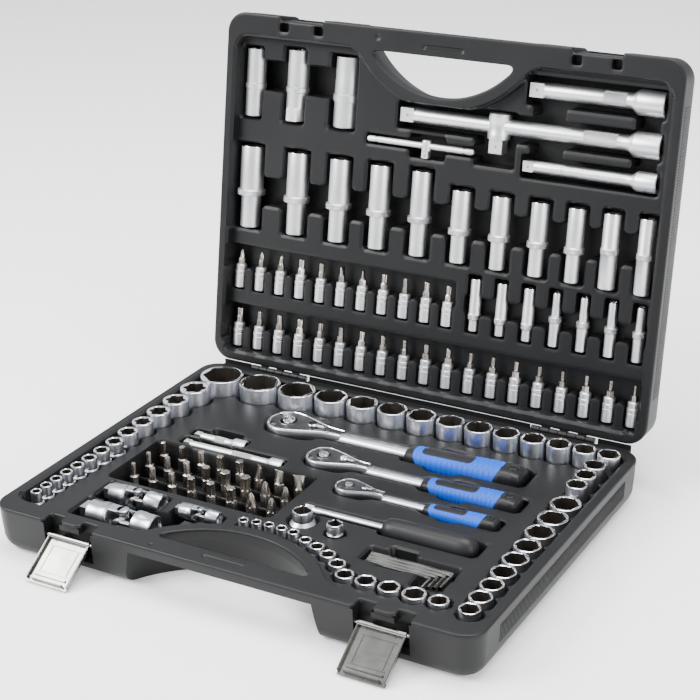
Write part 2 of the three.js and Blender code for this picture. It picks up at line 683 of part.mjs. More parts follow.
// Lying sockets point their opening away from the hinge.
function lyingSocket(x, v, diameter, length, top, sides) {
  const r = diameter / 2;
  const body = bar("y", x, lidY(v), top - r, r, length, sides);
  const bore = bar("y", x, lidY(v) + length * 0.45, top - r, r * 0.68, length, 6);
  return body.subtract(bore);
}

// The deep sockets differ in size, so their row is made apart. A strip joins each row.
{
  const web = box(DEEP_X[0], DEEP_X.at(-1), lidY(164), lidY(164) + WEB, -16, -14.5);
  const lengths = DEEP_X.map((_, i) => (i < DEEP_ROW.longCount ? DEEP_ROW.longest : DEEP_ROW.shorter));
  const shells = DEEP_DIAMETERS.map((d, i) =>
    bar("y", DEEP_X[i], lidY(DEEP_ROW.bottom), DEEP_ROW.top - d / 2, d / 2, lengths[i], 8),
  );
  const bores = DEEP_DIAMETERS.map((d, i) => {
    const from = DEEP_ROW.bottom + 34;
    return bar("y", DEEP_X[i], lidY(from), DEEP_ROW.top - d / 2, d * 0.34, 80, 6);
  });
  place("deep_socket_row", union([web, ...shells]).subtract(union(bores)), SATIN_CHROME, lid);
  DEEP_DIAMETERS.forEach((d, i) => {
    const x0 = DEEP_X[i] - d / 2 - FIT;
    const x1 = DEEP_X[i] + d / 2 + DEEP_SIDE_GAP;
    const v0 = DEEP_ROW.bottom - 1.5;
    const v1 = DEEP_ROW.bottom + lengths[i] + 3;
    const floor = DEEP_ROW.top - d - TOUCH;
    lidPockets.push(box(x0, x1, lidY(v0), lidY(v1), floor, ABOVE_RIM));
  });
  lidPockets.push(slot(DEEP_X[0] - 12, 214, lidY(160), lidY(189), -20, ABOVE_RIM, 3));
}

// A row of equal sockets. With `bit`, each one holds a driver bit; otherwise it has a bore.
function lyingRow(name, row, bit) {
  const step = (row.to - row.from) / (row.count - 1);
  const z = row.top - row.diameter / 2;
  const body = bit ? row.length * 0.62 : row.length;
  const parts = [
    box(row.from, row.to, lidY(row.bottom + 17), lidY(row.bottom + 17) + WEB, z - 0.8, z + 0.8),
  ];
  const bores = [];
  for (let i = 0; i < row.count; i++) {
    const x = row.from + step * i;
    parts.push(bar("y", x, lidY(row.bottom), z, row.diameter / 2, body, 6));
    if (bit) parts.push(bar("y", x, lidY(row.bottom) + 5, z, 3, row.length - 5, 4));
    if (!bit) bores.push(bar("y", x, lidY(row.bottom + 28), z, 3.6, 40, 6));
    const w = row.diameter / 2 + FIT;
    const v1 = row.bottom + body + 4;
    lidPockets.push(box(x - w, x + w, lidY(row.bottom - 1.2), lidY(v1), z - w, ABOVE_RIM));
  }
  const whole = bores.length ? union(parts).subtract(union(bores)) : union(parts);
  place(name, whole, SATIN_CHROME, lid);
  const w = row.diameter / 2 + 3;
  const v0 = row.bottom + 15;
  const v1 = bit ? row.bottom + row.length + 5 : row.bottom + 30;
  lidPockets.push(slot(row.from - w, row.to + w, lidY(v0), lidY(v1), z - 7, ABOVE_RIM, 3));
}
lyingRow("quarter_deep_socket_row", QUARTER_DEEP, false);
lyingRow("bit_socket_row_upper", BITS_UPPER, true);
lyingRow("bit_socket_row_lower", BITS_LOWER, true);

SPARK_PLUG.forEach((s, i) => {
  const top = -8.5;
  const r = s.diameter / 2;
  const shape = lyingSocket(s.x, SPARK_PLUG_BOTTOM, s.diameter, s.length, top, 14);
  place("spark_plug_socket_" + (i + 1), shape, SATIN_CHROME, lid);
  const w = r + FIT;
  const v1 = SPARK_PLUG_BOTTOM + s.length + 2;
  const v0 = SPARK_PLUG_BOTTOM - 2;
  lidPockets.push(box(s.x - w, s.x + w, lidY(v0), lidY(v1), top - 2 * r - TOUCH, ABOVE_RIM));
});
lidPockets.push(slot(-214, -92, lidY(276), lidY(300), -24, ABOVE_RIM, 4));

// ---------------------------------------------------------------- case halves
// The handle's arcs are all drawn about one point outside the case.
function disc(radius, side, z0, z1) {
  return bar("z", 0, -side * HANDLE_CENTRE, z0, radius, z1 - z0, 40);
}

// Every other knuckle of both hinges, each with the bridge that ties it to its case half.
function knuckles(side, offset) {
  const parts = [];
  const step = HINGE_LENGTH / KNUCKLES;
  const bridgeTop = -0.6;
  const y = side * HINGE_Y;
  for (const centre of [-HINGE_X, HINGE_X]) {
    for (let i = offset; i < KNUCKLES; i += 2) {
      const x0 = centre - HINGE_LENGTH / 2 + i * step + KNUCKLE_GAP / 2;
      const x1 = x0 + step - KNUCKLE_GAP;
      const near = side * (HALF_D - 3);
      parts.push(bar("x", x0, y, 0, KNUCKLE_RADIUS, x1 - x0, 8));
      parts.push(box(x0, x1, Math.min(near, y), Math.max(near, y), -KNUCKLE_RADIUS, bridgeTop));
    }
  }
  return union(parts);
}

// A lip behind the base's rim closes the gap below the lid, beside and between the hinges.
function hingeLip() {
  const [lipTop, lipBottom] = [-1.6, -5];
  const clear = HINGE_LENGTH / 2 + 2;
  const end = HALF_W - CORNER_RADIUS + 6;
  const spans = [
    [-end, -HINGE_X - clear],
    [-HINGE_X + clear, HINGE_X - clear],
    [HINGE_X + clear, end],
  ];
  const back = HINGE_Y + KNUCKLE_RADIUS;
  return union(spans.map(([x0, x1]) => box(x0, x1, HALF_D - 3, back, lipBottom, lipTop)));
}

function caseHalf(name, side, height, pockets, group, finish) {
  const profile = SHELL_PROFILE.map((p) => rimRing(p.inset, p.above - height));
  const shell = loft([...profile, rimRing(0, -HALF_GAP)]);
  const front = -side * (HALF_D - FRONT_RIM);
  const back = side * (HALF_D - SIDE_RIM);
  const trayW = HALF_W - SIDE_RIM;
  const y0 = Math.min(front, back);
  const y1 = Math.max(front, back);
  const tray = slot(-trayW, trayW, y0, y1, -TRAY_DROP, ABOVE_RIM, 12).subtract(
    disc(TRAY_ARC, side, -50, 10),
  );
  const barBack = -side * HANDLE_BAR_BACK;
  const behindBar =
    side > 0 ? box(-100, 100, barBack, 0, -60, 10) : box(-100, 100, 0, barBack, -60, 10);
  const opening = disc(HANDLE_ARC, side, -60, 10).intersect(behindBar);
  const below = disc(HANDLE_ARC, side, -60, -HANDLE_BAR_THICK);
  const cuts = [tray, opening, below, ...pockets];
  for (const x of [-LATCH_X, LATCH_X]) {
    const edge = -side * (HALF_D + 2);
    const deep = -side * (HALF_D - NOTCH_DEPTH);
    const a = Math.min(edge, deep);
    const b = Math.max(edge, deep);
    const w = NOTCH_WIDTH / 2;
    if (side > 0) {
      const reach = w + PIN_OVERRUN + 0.5;
      const t = TONGUE_WIDTH / 2;
      const tongueFront = -HALF_D + TONGUE_SETBACK;
      const tongue = box(x - t, x + t, tongueFront, b + 1, -TONGUE_HEIGHT, 2 * ABOVE_RIM);
      cuts.push(box(x - w, x + w, a, b, -NOTCH_DROP, ABOVE_RIM).subtract(tongue));
      cuts.push(bar("x", x - reach, -LATCH_PIN_Y, -LATCH_PIN_DROP, PIN_HOLE, 2 * reach, 8));
    } else {
      const shallow = -side * (HALF_D - CATCH_DEPTH);
      const [wide, narrow] = [CATCH_WIDTH / 2, CATCH_POCKET_WIDTH / 2];
      const [c, d] = [Math.min(edge, shallow), Math.max(edge, shallow)];
      cuts.push(box(x - wide, x + wide, c, d, -CATCH_DROP, ABOVE_RIM));
      cuts.push(box(x - narrow, x + narrow, a, b, -CATCH_DROP, -CATCH_POCKET_DROP));
      const slotBack = -side * (HALF_D - CATCH_SLOT.depth);
      const [e, f] = [Math.min(edge, slotBack), Math.max(edge, slotBack)];
      for (const x0 of [x - wide, x + wide - CATCH_SLOT.width]) {
        cuts.push(box(x0, x0 + CATCH_SLOT.width, e, f, -CATCH_SLOT.drop, ABOVE_RIM));
      }
    }
  }
  const pinLine = [-HINGE_X, HINGE_X].map((x) =>
    bar("x", x - HINGE_LENGTH / 2 - 1, side * HINGE_Y, 0, PIN_HOLE, HINGE_LENGTH + 2, 8),
  );
  const body = shell.subtract(union(cuts));
  const lipped = side > 0 ? body.add(hingeLip()) : body;
  const half = lipped.add(knuckles(side, side > 0 ? 0 : 1)).subtract(union(pinLine));
  place(name, half, finish, group);
}
caseHalf("base_case", 1, BASE_HEIGHT, basePockets, base, PLASTIC);
caseHalf("lid_case", -1, LID_HEIGHT, lidPockets, lid, PLASTIC);

const SIDES = [
  ["left", -1],
  ["right", 1],
];
for (const [word, sign] of SIDES) {
  const x = sign * HINGE_X;
  const pin = bar("x", x - HINGE_LENGTH / 2, HINGE_Y, 0, PIN_RADIUS, HINGE_LENGTH, 8);
  place("hinge_pin_" + word, pin, NICKEL, base);
}

// ---------------------------------------------------------------- latches
// Drawn shut, standing up from its pin, then turned open about the pin.
for (const [word, sign] of SIDES) {
  const x = sign * LATCH_X;
  const w = LATCH_WIDTH / 2;
  const barrelRadius = 2.7;
  const inner = -barrelRadius + LATCH_SHEET; // the face towards the case
  const hookTop = LATCH_LENGTH - LATCH_SHEET;
  const barrel = bar("x", x - w, 0, 0, barrelRadius, LATCH_WIDTH, 8);
  const plate = box(x - w, x + w, -barrelRadius, inner, 0, LATCH_LENGTH);
  const hook = box(x - w + 5, x + w - 5, -barrelRadius, HOOK_HEIGHT - 2.7, hookTop, LATCH_LENGTH);
  const tail = box(x - w, x + w, inner - 3, inner, LATCH_LENGTH - 1, LATCH_LENGTH + TAIL);
  const bore = bar("x", x - w - 1, 0, 0, PIN_HOLE, LATCH_WIDTH + 2, 8);
  const latch = union([barrel, plate, hook, tail])
    .subtract(bore)
    .rotate([LATCH_OPEN_DEG, 0, 0])
    .translate([0, -LATCH_PIN_Y, -LATCH_PIN_DROP]);
  place("latch_" + word, latch, NICKEL, base);
  const reach = NOTCH_WIDTH / 2 + PIN_OVERRUN;
  const pin = bar("x", x - reach, -LATCH_PIN_Y, -LATCH_PIN_DROP, PIN_RADIUS, 2 * reach, 8);
  place("latch_pin_" + word, pin, NICKEL, base);
}

// ---------------------------------------------------------------- the lid stands open
const pivot = new THREE.Group();
pivot.position.set(0, HINGE_Y, RIM_Z);
pivot.rotation.x = Math.PI - THREE.MathUtils.degToRad(LID_OPEN_DEG);
lid.position.y = HINGE_Y;
pivot.add(lid);
root.add(pivot);

export default root;
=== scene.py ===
# %% [markdown]
# # A socket wrench set in its moulded case
#
# This lesson dresses a finished engineering model. Every cell then builds one kind of piece in
# millimetres, places it where the frame says, and lets it ride on a body, so that the lid, the
# latches and the tools still move.

# %% Load the frame
import json
import math

import bmesh
import bpy
import numpy as np
from mathutils import Matrix, Vector


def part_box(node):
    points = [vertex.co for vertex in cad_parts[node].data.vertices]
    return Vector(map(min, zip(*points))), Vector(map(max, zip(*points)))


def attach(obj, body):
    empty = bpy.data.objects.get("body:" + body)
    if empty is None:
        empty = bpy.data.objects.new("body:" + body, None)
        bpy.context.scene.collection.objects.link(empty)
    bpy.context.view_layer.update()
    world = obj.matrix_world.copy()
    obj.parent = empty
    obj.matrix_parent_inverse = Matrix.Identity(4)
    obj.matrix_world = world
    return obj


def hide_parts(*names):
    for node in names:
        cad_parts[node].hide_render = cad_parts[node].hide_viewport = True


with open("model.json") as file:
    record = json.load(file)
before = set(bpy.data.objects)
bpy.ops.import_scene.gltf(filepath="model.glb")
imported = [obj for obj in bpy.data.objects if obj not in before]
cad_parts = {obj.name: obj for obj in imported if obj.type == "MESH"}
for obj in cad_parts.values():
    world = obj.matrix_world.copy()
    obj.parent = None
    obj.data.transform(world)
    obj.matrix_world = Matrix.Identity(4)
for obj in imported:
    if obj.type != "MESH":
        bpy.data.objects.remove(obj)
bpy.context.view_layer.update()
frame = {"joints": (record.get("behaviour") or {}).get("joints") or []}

joints = {joint["name"]: joint for joint in frame["joints"]}

# %% [markdown]
# ## Two drawing frames
#
# The case is two halves that mirror each other, so it is easier to draw both in one way: the rim
# is the plane z = 0, and the outside of the shell goes down. One matrix then stands the base on
# the floor, and another turns the lid round the hinge line that the frame's joint gives.

# %% The two halves' matrices
MM = 0.001
hinge = joints["lid_hinge"]
hinge_point = Vector(hinge["pos_m"])
CLOSED_PLAY = math.radians(0.1)
open_angle = math.radians(-hinge["range_deg"][0]) + CLOSED_PLAY
HINGE_Y = hinge_point.y / MM
RIM_Z = hinge_point.z / MM

base_at = Matrix.Translation((0, 0, hinge_point.z)) @ Matrix.Scale(MM, 4)
lid_at = (
    Matrix.Translation(hinge_point)
    @ Matrix.Rotation(math.pi - open_angle, 4, "X")
    @ Matrix.Translation((0, hinge_point.y, 0))
    @ Matrix.Scale(MM, 4)
)
low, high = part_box("base_case")
HALF_W = (high.x - low.x) / 2 / MM
HALF_D = -low.y / MM
BASE_HEIGHT = RIM_Z - low.z / MM
LID_HEIGHT = BASE_HEIGHT - 0.5
print("case", round(2 * HALF_W), "x", round(2 * HALF_D), "mm, open", round(math.degrees(open_angle), 1))


# %% [markdown]
# ## Finishes
#
# A moulded case is never one flat grey. It has a fine spark-eroded grain, slow changes of tone
# where the plastic cooled, and edges that catch the light. Chrome tools carry fine scratches.
# The grain and tone, and the scratches, are used by several materials, so they are node groups with their
# own inputs.

# %% Node groups
def new_group(name, inputs, outputs):
    group = bpy.data.node_groups.new(name, "ShaderNodeTree")
    for label, kind, value in inputs:
        socket = group.interface.new_socket(name=label, in_out="INPUT", socket_type=kind)
        if value is not None:
            socket.default_value = value
    for label, kind in outputs:
        group.interface.new_socket(name=label, in_out="OUTPUT", socket_type=kind)
    start = group.nodes.new("NodeGroupInput")
    end = group.nodes.new("NodeGroupOutput")
    return group, start, end


def math_node(tree, operation, a, b=None):
    node = tree.nodes.new("ShaderNodeMath")
    node.operation = operation
    for index, value in enumerate((a, b)):
        if value is None:
            continue
        if isinstance(value, (int, float)):
            node.inputs[index].default_value = value
        else:
            tree.links.new(value, node.inputs[index])
    return node.outputs[0]


def noise_node(tree, vector, scale, detail):
    node = tree.nodes.new("ShaderNodeTexNoise")
    for label, value in (("Scale", scale), ("Detail", detail)):
        if isinstance(value, (int, float)):
            node.inputs[label].default_value = value
        else:
            tree.links.new(value, node.inputs[label])
    tree.links.new(vector, node.inputs["Vector"])
    return node.outputs["Fac"]


FLOAT, VECTOR = "NodeSocketFloat", "NodeSocketVector"

grain_group, g_in, g_out = new_group(
    "moulded_grain",
    [("Point", VECTOR, None), ("Grain Scale", FLOAT, 2400.0), ("Tone Scale", FLOAT, 9.0)],
    [("Height", FLOAT), ("Tone", FLOAT)],
)
grain = noise_node(grain_group, g_in.outputs["Point"], g_in.outputs["Grain Scale"], 2.0)
tone = noise_node(grain_group, g_in.outputs["Point"], g_in.outputs["Tone Scale"], 3.0)
grain_group.links.new(grain, g_out.inputs["Height"])
grain_group.links.new(tone, g_out.inputs["Tone"])

scratch_group, s_in, s_out = new_group(
    "fine_scratches",
    [("Point", VECTOR, None), ("Along X", FLOAT, 60.0), ("Across", FLOAT, 1800.0)],
    [("Height", FLOAT), ("Smear", FLOAT)],
)
stretch = scratch_group.nodes.new("ShaderNodeCombineXYZ")
scratch_group.links.new(s_in.outputs["Along X"], stretch.inputs["X"])
scratch_group.links.new(s_in.outputs["Across"], stretch.inputs["Y"])
scratch_group.links.new(s_in.outputs["Across"], stretch.inputs["Z"])
scaled = scratch_group.nodes.new("ShaderNodeVectorMath")
scaled.operation = "MULTIPLY"
scratch_group.links.new(s_in.outputs["Point"], scaled.inputs[0])
scratch_group.links.new(stretch.outputs[0], scaled.inputs[1])
lines = noise_node(scratch_group, scaled.outputs[0], 1.0, 3.0)
smear = noise_node(scratch_group, s_in.outputs["Point"], 45.0, 2.0)
scratch_group.links.new(lines, s_out.inputs["Height"])
scratch_group.links.new(smear, s_out.inputs["Smear"])

knurl_group, k_in, k_out = new_group(
    "rolled_knurl",
    [("Point", VECTOR, None), ("Pitch Scale", FLOAT, 900.0)],
    [("Height", FLOAT)],
)
axes = knurl_group.nodes.new("ShaderNodeSeparateXYZ")
knurl_group.links.new(k_in.outputs["Point"], axes.inputs[0])
across = math_node(knurl_group, "ADD", axes.outputs["Y"], axes.outputs["Z"])
waves = []
for operation in ("ADD", "SUBTRACT"):
    diagonal = math_node(knurl_group, operation, axes.outputs["X"], across)
    turned_by = math_node(knurl_group, "MULTIPLY", diagonal, k_in.outputs["Pitch Scale"])
    waves.append(math_node(knurl_group, "SINE", math_node(knurl_group, "MULTIPLY", turned_by, 6.28)))
knurl_group.links.new(math_node(knurl_group, "MULTIPLY", *waves), k_out.inputs["Height"])
print("made groups", grain_group.name, scratch_group.name, knurl_group.name)


# %% [markdown]
# ## Materials
#
# The shader itself stays in each material. Values that are the same all over are set on its own
# sockets, and only what changes over the surface is linked to it.

# %% Plastic, rubber and metal makers
def new_finish(name):
    finish = bpy.data.materials.new(name)
    finish.use_nodes = True
    tree = finish.node_tree
    shader = tree.nodes["Principled BSDF"]
    point = tree.nodes.new("ShaderNodeTexCoord").outputs["Object"]
    return finish, tree, shader, point


def use_group(tree, group, point, **values):
    node = tree.nodes.new("ShaderNodeGroup")
    node.node_tree = group
    tree.links.new(point, node.inputs["Point"])
    for label, value in values.items():
        node.inputs[label.replace("_", " ")].default_value = value
    return node


def between(tree, fac, dark, light, low_at=0.3, high_at=0.7):
    ramp = tree.nodes.new("ShaderNodeValToRGB")
    ramp.color_ramp.elements[0].position = low_at
    ramp.color_ramp.elements[1].position = high_at
    ramp.color_ramp.elements[0].color = (*dark, 1)
    ramp.color_ramp.elements[1].color = (*light, 1)
    tree.links.new(fac, ramp.inputs[0])
    return ramp.outputs[0]


def bump(tree, shader, height, strength, distance):
    node = tree.nodes.new("ShaderNodeBump")
    node.inputs["Strength"].default_value = strength
    node.inputs["Distance"].default_value = distance
    tree.links.new(height, node.inputs["Height"])
    tree.links.new(node.outputs[0], shader.inputs["Normal"])


def plastic(name, dark, light, rough=(0.42, 0.55), grain_scale=2400.0, strength=0.25):
    finish, tree, shader, point = new_finish(name)
    surface = use_group(tree, grain_group, point, Grain_Scale=grain_scale)
    tree.links.new(between(tree, surface.outputs["Tone"], dark, light), shader.inputs["Base Color"])
    grey = between(tree, surface.outputs["Tone"], (rough[0],) * 3, (rough[1],) * 3)
    tree.links.new(grey, shader.inputs["Roughness"])
    shader.inputs["Specular IOR Level"].default_value = 0.28
    bump(tree, shader, surface.outputs["Height"], strength, 0.00012)
    return finish


def metal(name, dark, light, rough=(0.2, 0.32), along=60.0, strength=0.12, knurled=False):
    finish, tree, shader, point = new_finish(name)
    shader.inputs["Metallic"].default_value = 1.0
    surface = use_group(tree, scratch_group, point, Along_X=along)
    tree.links.new(between(tree, surface.outputs["Smear"], dark, light), shader.inputs["Base Color"])
    grey = between(tree, surface.outputs["Height"], (rough[0],) * 3, (rough[1],) * 3)
    tree.links.new(grey, shader.inputs["Roughness"])
    if knurled:
        pattern = use_group(tree, knurl_group, point)
        bump(tree, shader, pattern.outputs["Height"], 0.6, 0.0003)
    else:
        bump(tree, shader, surface.outputs["Height"], strength, 0.00005)
    return finish


CASE = plastic("case_plastic", (0.0036, 0.0038, 0.0042), (0.0066, 0.0068, 0.0073), (0.40, 0.5), strength=0.2)
CASE_RIBBED = plastic("case_textured_panel", (0.006, 0.0062, 0.0068), (0.010, 0.010, 0.011), strength=0.5)
SATIN = metal(
    "satin_chrome", (0.48, 0.49, 0.52), (0.54, 0.55, 0.58), rough=(0.27, 0.31), along=400.0, strength=0.008,
)
MATT = metal("matt_chrome", (0.66, 0.67, 0.68), (0.76, 0.76, 0.77), rough=(0.38, 0.46), strength=0.03)
BRIGHT = metal("polished_rim", (0.82, 0.83, 0.85), (0.92, 0.92, 0.93), rough=(0.08, 0.16))
BORE = metal("socket_bore", (0.075, 0.068, 0.06), (0.15, 0.135, 0.12), rough=(0.4, 0.55))
STEEL = metal("driver_bit_steel", (0.30, 0.27, 0.24), (0.46, 0.43, 0.39), rough=(0.22, 0.36))
NICKEL = metal("nickel_plate", (0.20, 0.20, 0.19), (0.29, 0.29, 0.275), rough=(0.14, 0.22), strength=0.02)
PLATE = metal("cover_plate", (0.10, 0.10, 0.11), (0.17, 0.17, 0.18), rough=(0.26, 0.38), strength=0.05)
KNURL = metal("knurled_band", (0.50, 0.50, 0.52), (0.66, 0.66, 0.68), rough=(0.3, 0.42), knurled=True)
BLUE = plastic("blue_grip", (0.0005, 0.060, 0.42), (0.001, 0.085, 0.55), (0.45, 0.55), 900.0)
BLACK = plastic("black_grip", (0.005, 0.005, 0.006), (0.011, 0.011, 0.012), (0.32, 0.45), 1500.0)
print("finishes", [m.name for m in bpy.data.materials])


# %% [markdown]
# ## Building blocks
#
# Nearly every tool here was turned on a lathe or forged in a die, so two shapes go a long way: a
# loft through rings of points, and a sweep along a path. A ring is a height and one radius for
# each angle, so the same loft can start round and end as a hexagon or a square.

# %% Rings, lofts and pieces
RING = 36
ANGLES = np.arange(RING) * 2 * math.pi / RING


def round_ring(radius):
    return np.full(RING, float(radius))


def polygon_ring(apothem, corners, turn=0.0):
    sector = 2 * math.pi / corners
    away = np.mod(ANGLES + turn, sector) - sector / 2
    return apothem / np.cos(away)


def star_ring(outer, inner, points=6):
    return (outer + inner) / 2 + (outer - inner) / 2 * np.cos(points * ANGLES)


def loft(rings, cap_start=True, cap_end=True):
    """rings: (height, radii). The axis is +Z."""
    verts = []
    for height, radii in rings:
        if np.isscalar(radii):
            radii = round_ring(radii)
        for a, r in zip(ANGLES, radii):
            verts.append((r * math.cos(a), r * math.sin(a), height))
    faces = []
    for k in range(len(rings) - 1):
        for i in range(RING):
            a, b = k * RING + i, k * RING + (i + 1) % RING
            faces.append((a, b, b + RING, a + RING))
    if cap_start:
        faces.append(tuple(range(RING - 1, -1, -1)))
    if cap_end:
        last = (len(rings) - 1) * RING
        faces.append(tuple(range(last, last + RING)))
    return np.array(verts, float), faces


TO_X = Matrix.Rotation(math.pi / 2, 4, "Y")
TO_Y = Matrix.Rotation(-math.pi / 2, 4, "X")


def spot(x, y, z, turn=None, spin=0.0):
    place = Matrix.Translation((x, y, z))
    if turn is not None:
        place = place @ turn
    return place @ Matrix.Rotation(spin, 4, "Z")


class Parts:
    """Gathers shapes in millimetres, each with a finish, into one mesh."""

    def __init__(self):
        self.verts, self.faces, self.finishes, self.count = [], [], [], 0

    def add(self, shape, finish=0, place=None):
        verts, faces = shape
        verts = np.asarray(verts, float)
        if place is not None:
            m = np.array(place)
            verts = verts @ m[:3, :3].T + m[:3, 3]
        self.verts.append(verts)
        self.faces += [tuple(i + self.count for i in face) for face in faces]
        if np.isscalar(finish):
            finish = [finish] * len(faces)
        self.finishes += list(finish)
        self.count += len(verts)


def piece(name, parts, finishes, body, nodes, at, sharp=35.0, outward=True):
    mesh = bpy.data.meshes.new(name)
    mesh.from_pydata(np.vstack(parts.verts).tolist(), [], parts.faces)
    mesh.polygons.foreach_set("material_index", np.array(parts.finishes, np.int32))
    for finish in finishes:
        mesh.materials.append(finish)
    if outward:
        bm = bmesh.new()
        bm.from_mesh(mesh)
        bmesh.ops.recalc_face_normals(bm, faces=bm.faces)
        bm.to_mesh(mesh)
        bm.free()
    mesh.transform(at)
    mesh.polygons.foreach_set("use_smooth", np.ones(len(mesh.polygons), bool))
    mesh.set_sharp_from_angle(angle=math.radians(sharp))
    mesh.update()
    made = bpy.data.objects.new(name, mesh)
    bpy.context.scene.collection.objects.link(made)
    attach(made, body)
    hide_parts(*nodes)
    print(name, len(mesh.polygons), "faces on", body)
    return made


def block(x0, x1, y0, y1, z0, z1, edge=0.6):
    bm = bmesh.new()
    bmesh.ops.create_cube(bm, size=1)
    size = Vector((x1 - x0, y1 - y0, z1 - z0))
    middle = Vector(((x0 + x1) / 2, (y0 + y1) / 2, (z0 + z1) / 2))
    bmesh.ops.scale(bm, vec=size, verts=bm.verts)
    bmesh.ops.translate(bm, vec=middle, verts=bm.verts)
    bmesh.ops.bevel(bm, geom=bm.edges[:], offset=min(edge, min(size) * 0.45), segments=2, affect="EDGES")
    bm.verts.index_update()
    shape = (np.array([v.co[:] for v in bm.verts]), [tuple(v.index for v in f.verts) for f in bm.faces])
    bm.free()
    return shape


def spread(diameters, total):
    gap = (total - sum(diameters)) / (len(diameters) - 1)
    places, run = [], 0.0
    for d in diameters:
        places.append(run + d / 2)
        run += d + gap
    return places


# %% [markdown]
# ## The case halves
#
# Each half is a blow-moulded shell. Its inside face is one continuous skin: a flat rim, a tray
# sunk below it, and pockets sunk into the tray. A grid of points that follows a height map suits
# such a skin. On its own a grid gives ragged pocket edges, so every point beside an edge is first
# pulled sideways until it sits exactly on that edge. Distance functions say how far each point is
# from an outline, and in which direction.

# %% Distance functions
def box_distance(x, y, x0, x1, y0, y1, r):
    qx = np.abs(x - (x0 + x1) / 2) - (x1 - x0) / 2 + r
    qy = np.abs(y - (y0 + y1) / 2) - (y1 - y0) / 2 + r
    return np.hypot(np.maximum(qx, 0), np.maximum(qy, 0)) + np.minimum(np.maximum(qx, qy), 0) - r


def disc_distance(x, y, cx, cy, r):
    return np.hypot(x - cx, y - cy) - r


def both(a, b, r):
    """Inside a and inside b, with the corner between them rounded."""
    return np.hypot(np.maximum(a + r, 0), np.maximum(b + r, 0)) + np.minimum(np.maximum(a, b) + r, 0) - r


def either(a, b, r):
    """Inside a or inside b, with the corner of material between them rounded."""
    return np.maximum(r, np.minimum(a, b)) - np.hypot(np.maximum(r - a, 0), np.maximum(r - b, 0))


CORNER = 19
TRAY_DROP = 10.5
SIDE_RIM, FRONT_RIM = 10.5, 22
HANDLE_CENTRE, HANDLE_ARC, TRAY_ARC = -206, 93, 106
BAR_BACK, BAR_THICK = -149, 9.5
LATCH_X = abs(joints["latch_left_hinge"]["pos_m"][0]) / MM
LATCH_PIN_Y = joints["latch_left_hinge"]["pos_m"][1] / MM
LATCH_PIN_Z = joints["latch_left_hinge"]["pos_m"][2] / MM - RIM_Z
NOTCH_HALF, NOTCH_DEPTH, NOTCH_LOW = 24, 12.5, -31
TONGUE_HALF, TONGUE_BACK, TONGUE_LOW = 10, 3.6, -8
CATCH_HALF, CATCH_DEPTH, CATCH_LOW = 23, 4.5, -36
CATCH_POCKET = {"half": 18, "depth": 12.5, "top": -17}  # undercut that the hook turns into


def shell_outline(x, w, side):
    """w is the depth axis with the handle at -w in both halves."""
    d = box_distance(x, w, -HALF_W, HALF_W, -HALF_D, HALF_D, CORNER)
    for cx in (-LATCH_X, LATCH_X):
        half, deep = (NOTCH_HALF, NOTCH_DEPTH) if side > 0 else (CATCH_HALF, CATCH_DEPTH)
        notch = box_distance(x, w, cx - half, cx + half, -HALF_D - 20, -HALF_D + deep, 2)
        if side > 0:
            tongue = box_distance(x, w, cx - TONGUE_HALF, cx + TONGUE_HALF, TONGUE_BACK - HALF_D, 0, 2)
            notch = both(notch, -tongue, 1)
        d = both(d, -notch, 1.5)
    return d


def handle_hole(x, w):
    return both(disc_distance(x, w, 0, HANDLE_CENTRE, HANDLE_ARC), BAR_BACK - w, 9)


def tray(x, w, grow=0.0):
    d = box_distance(x, w, SIDE_RIM - HALF_W, HALF_W - SIDE_RIM, FRONT_RIM - HALF_D, HALF_D - SIDE_RIM, 12)
    return both(d, -disc_distance(x, w, 0, HANDLE_CENTRE, TRAY_ARC), 7) - grow


print("rim", SIDE_RIM, "mm, tray", TRAY_DROP, "mm down")


# %% [markdown]
# The skin itself. `regions` is a list of (depth, distance) pairs. The deepest region that holds a
# point sets its height, and each lip gets a small fillet on the high side.

# %% The skin
STEP = 1.5
LIP = 1.6
SNAP = 0.35
EDGE_ROUND = 1.6


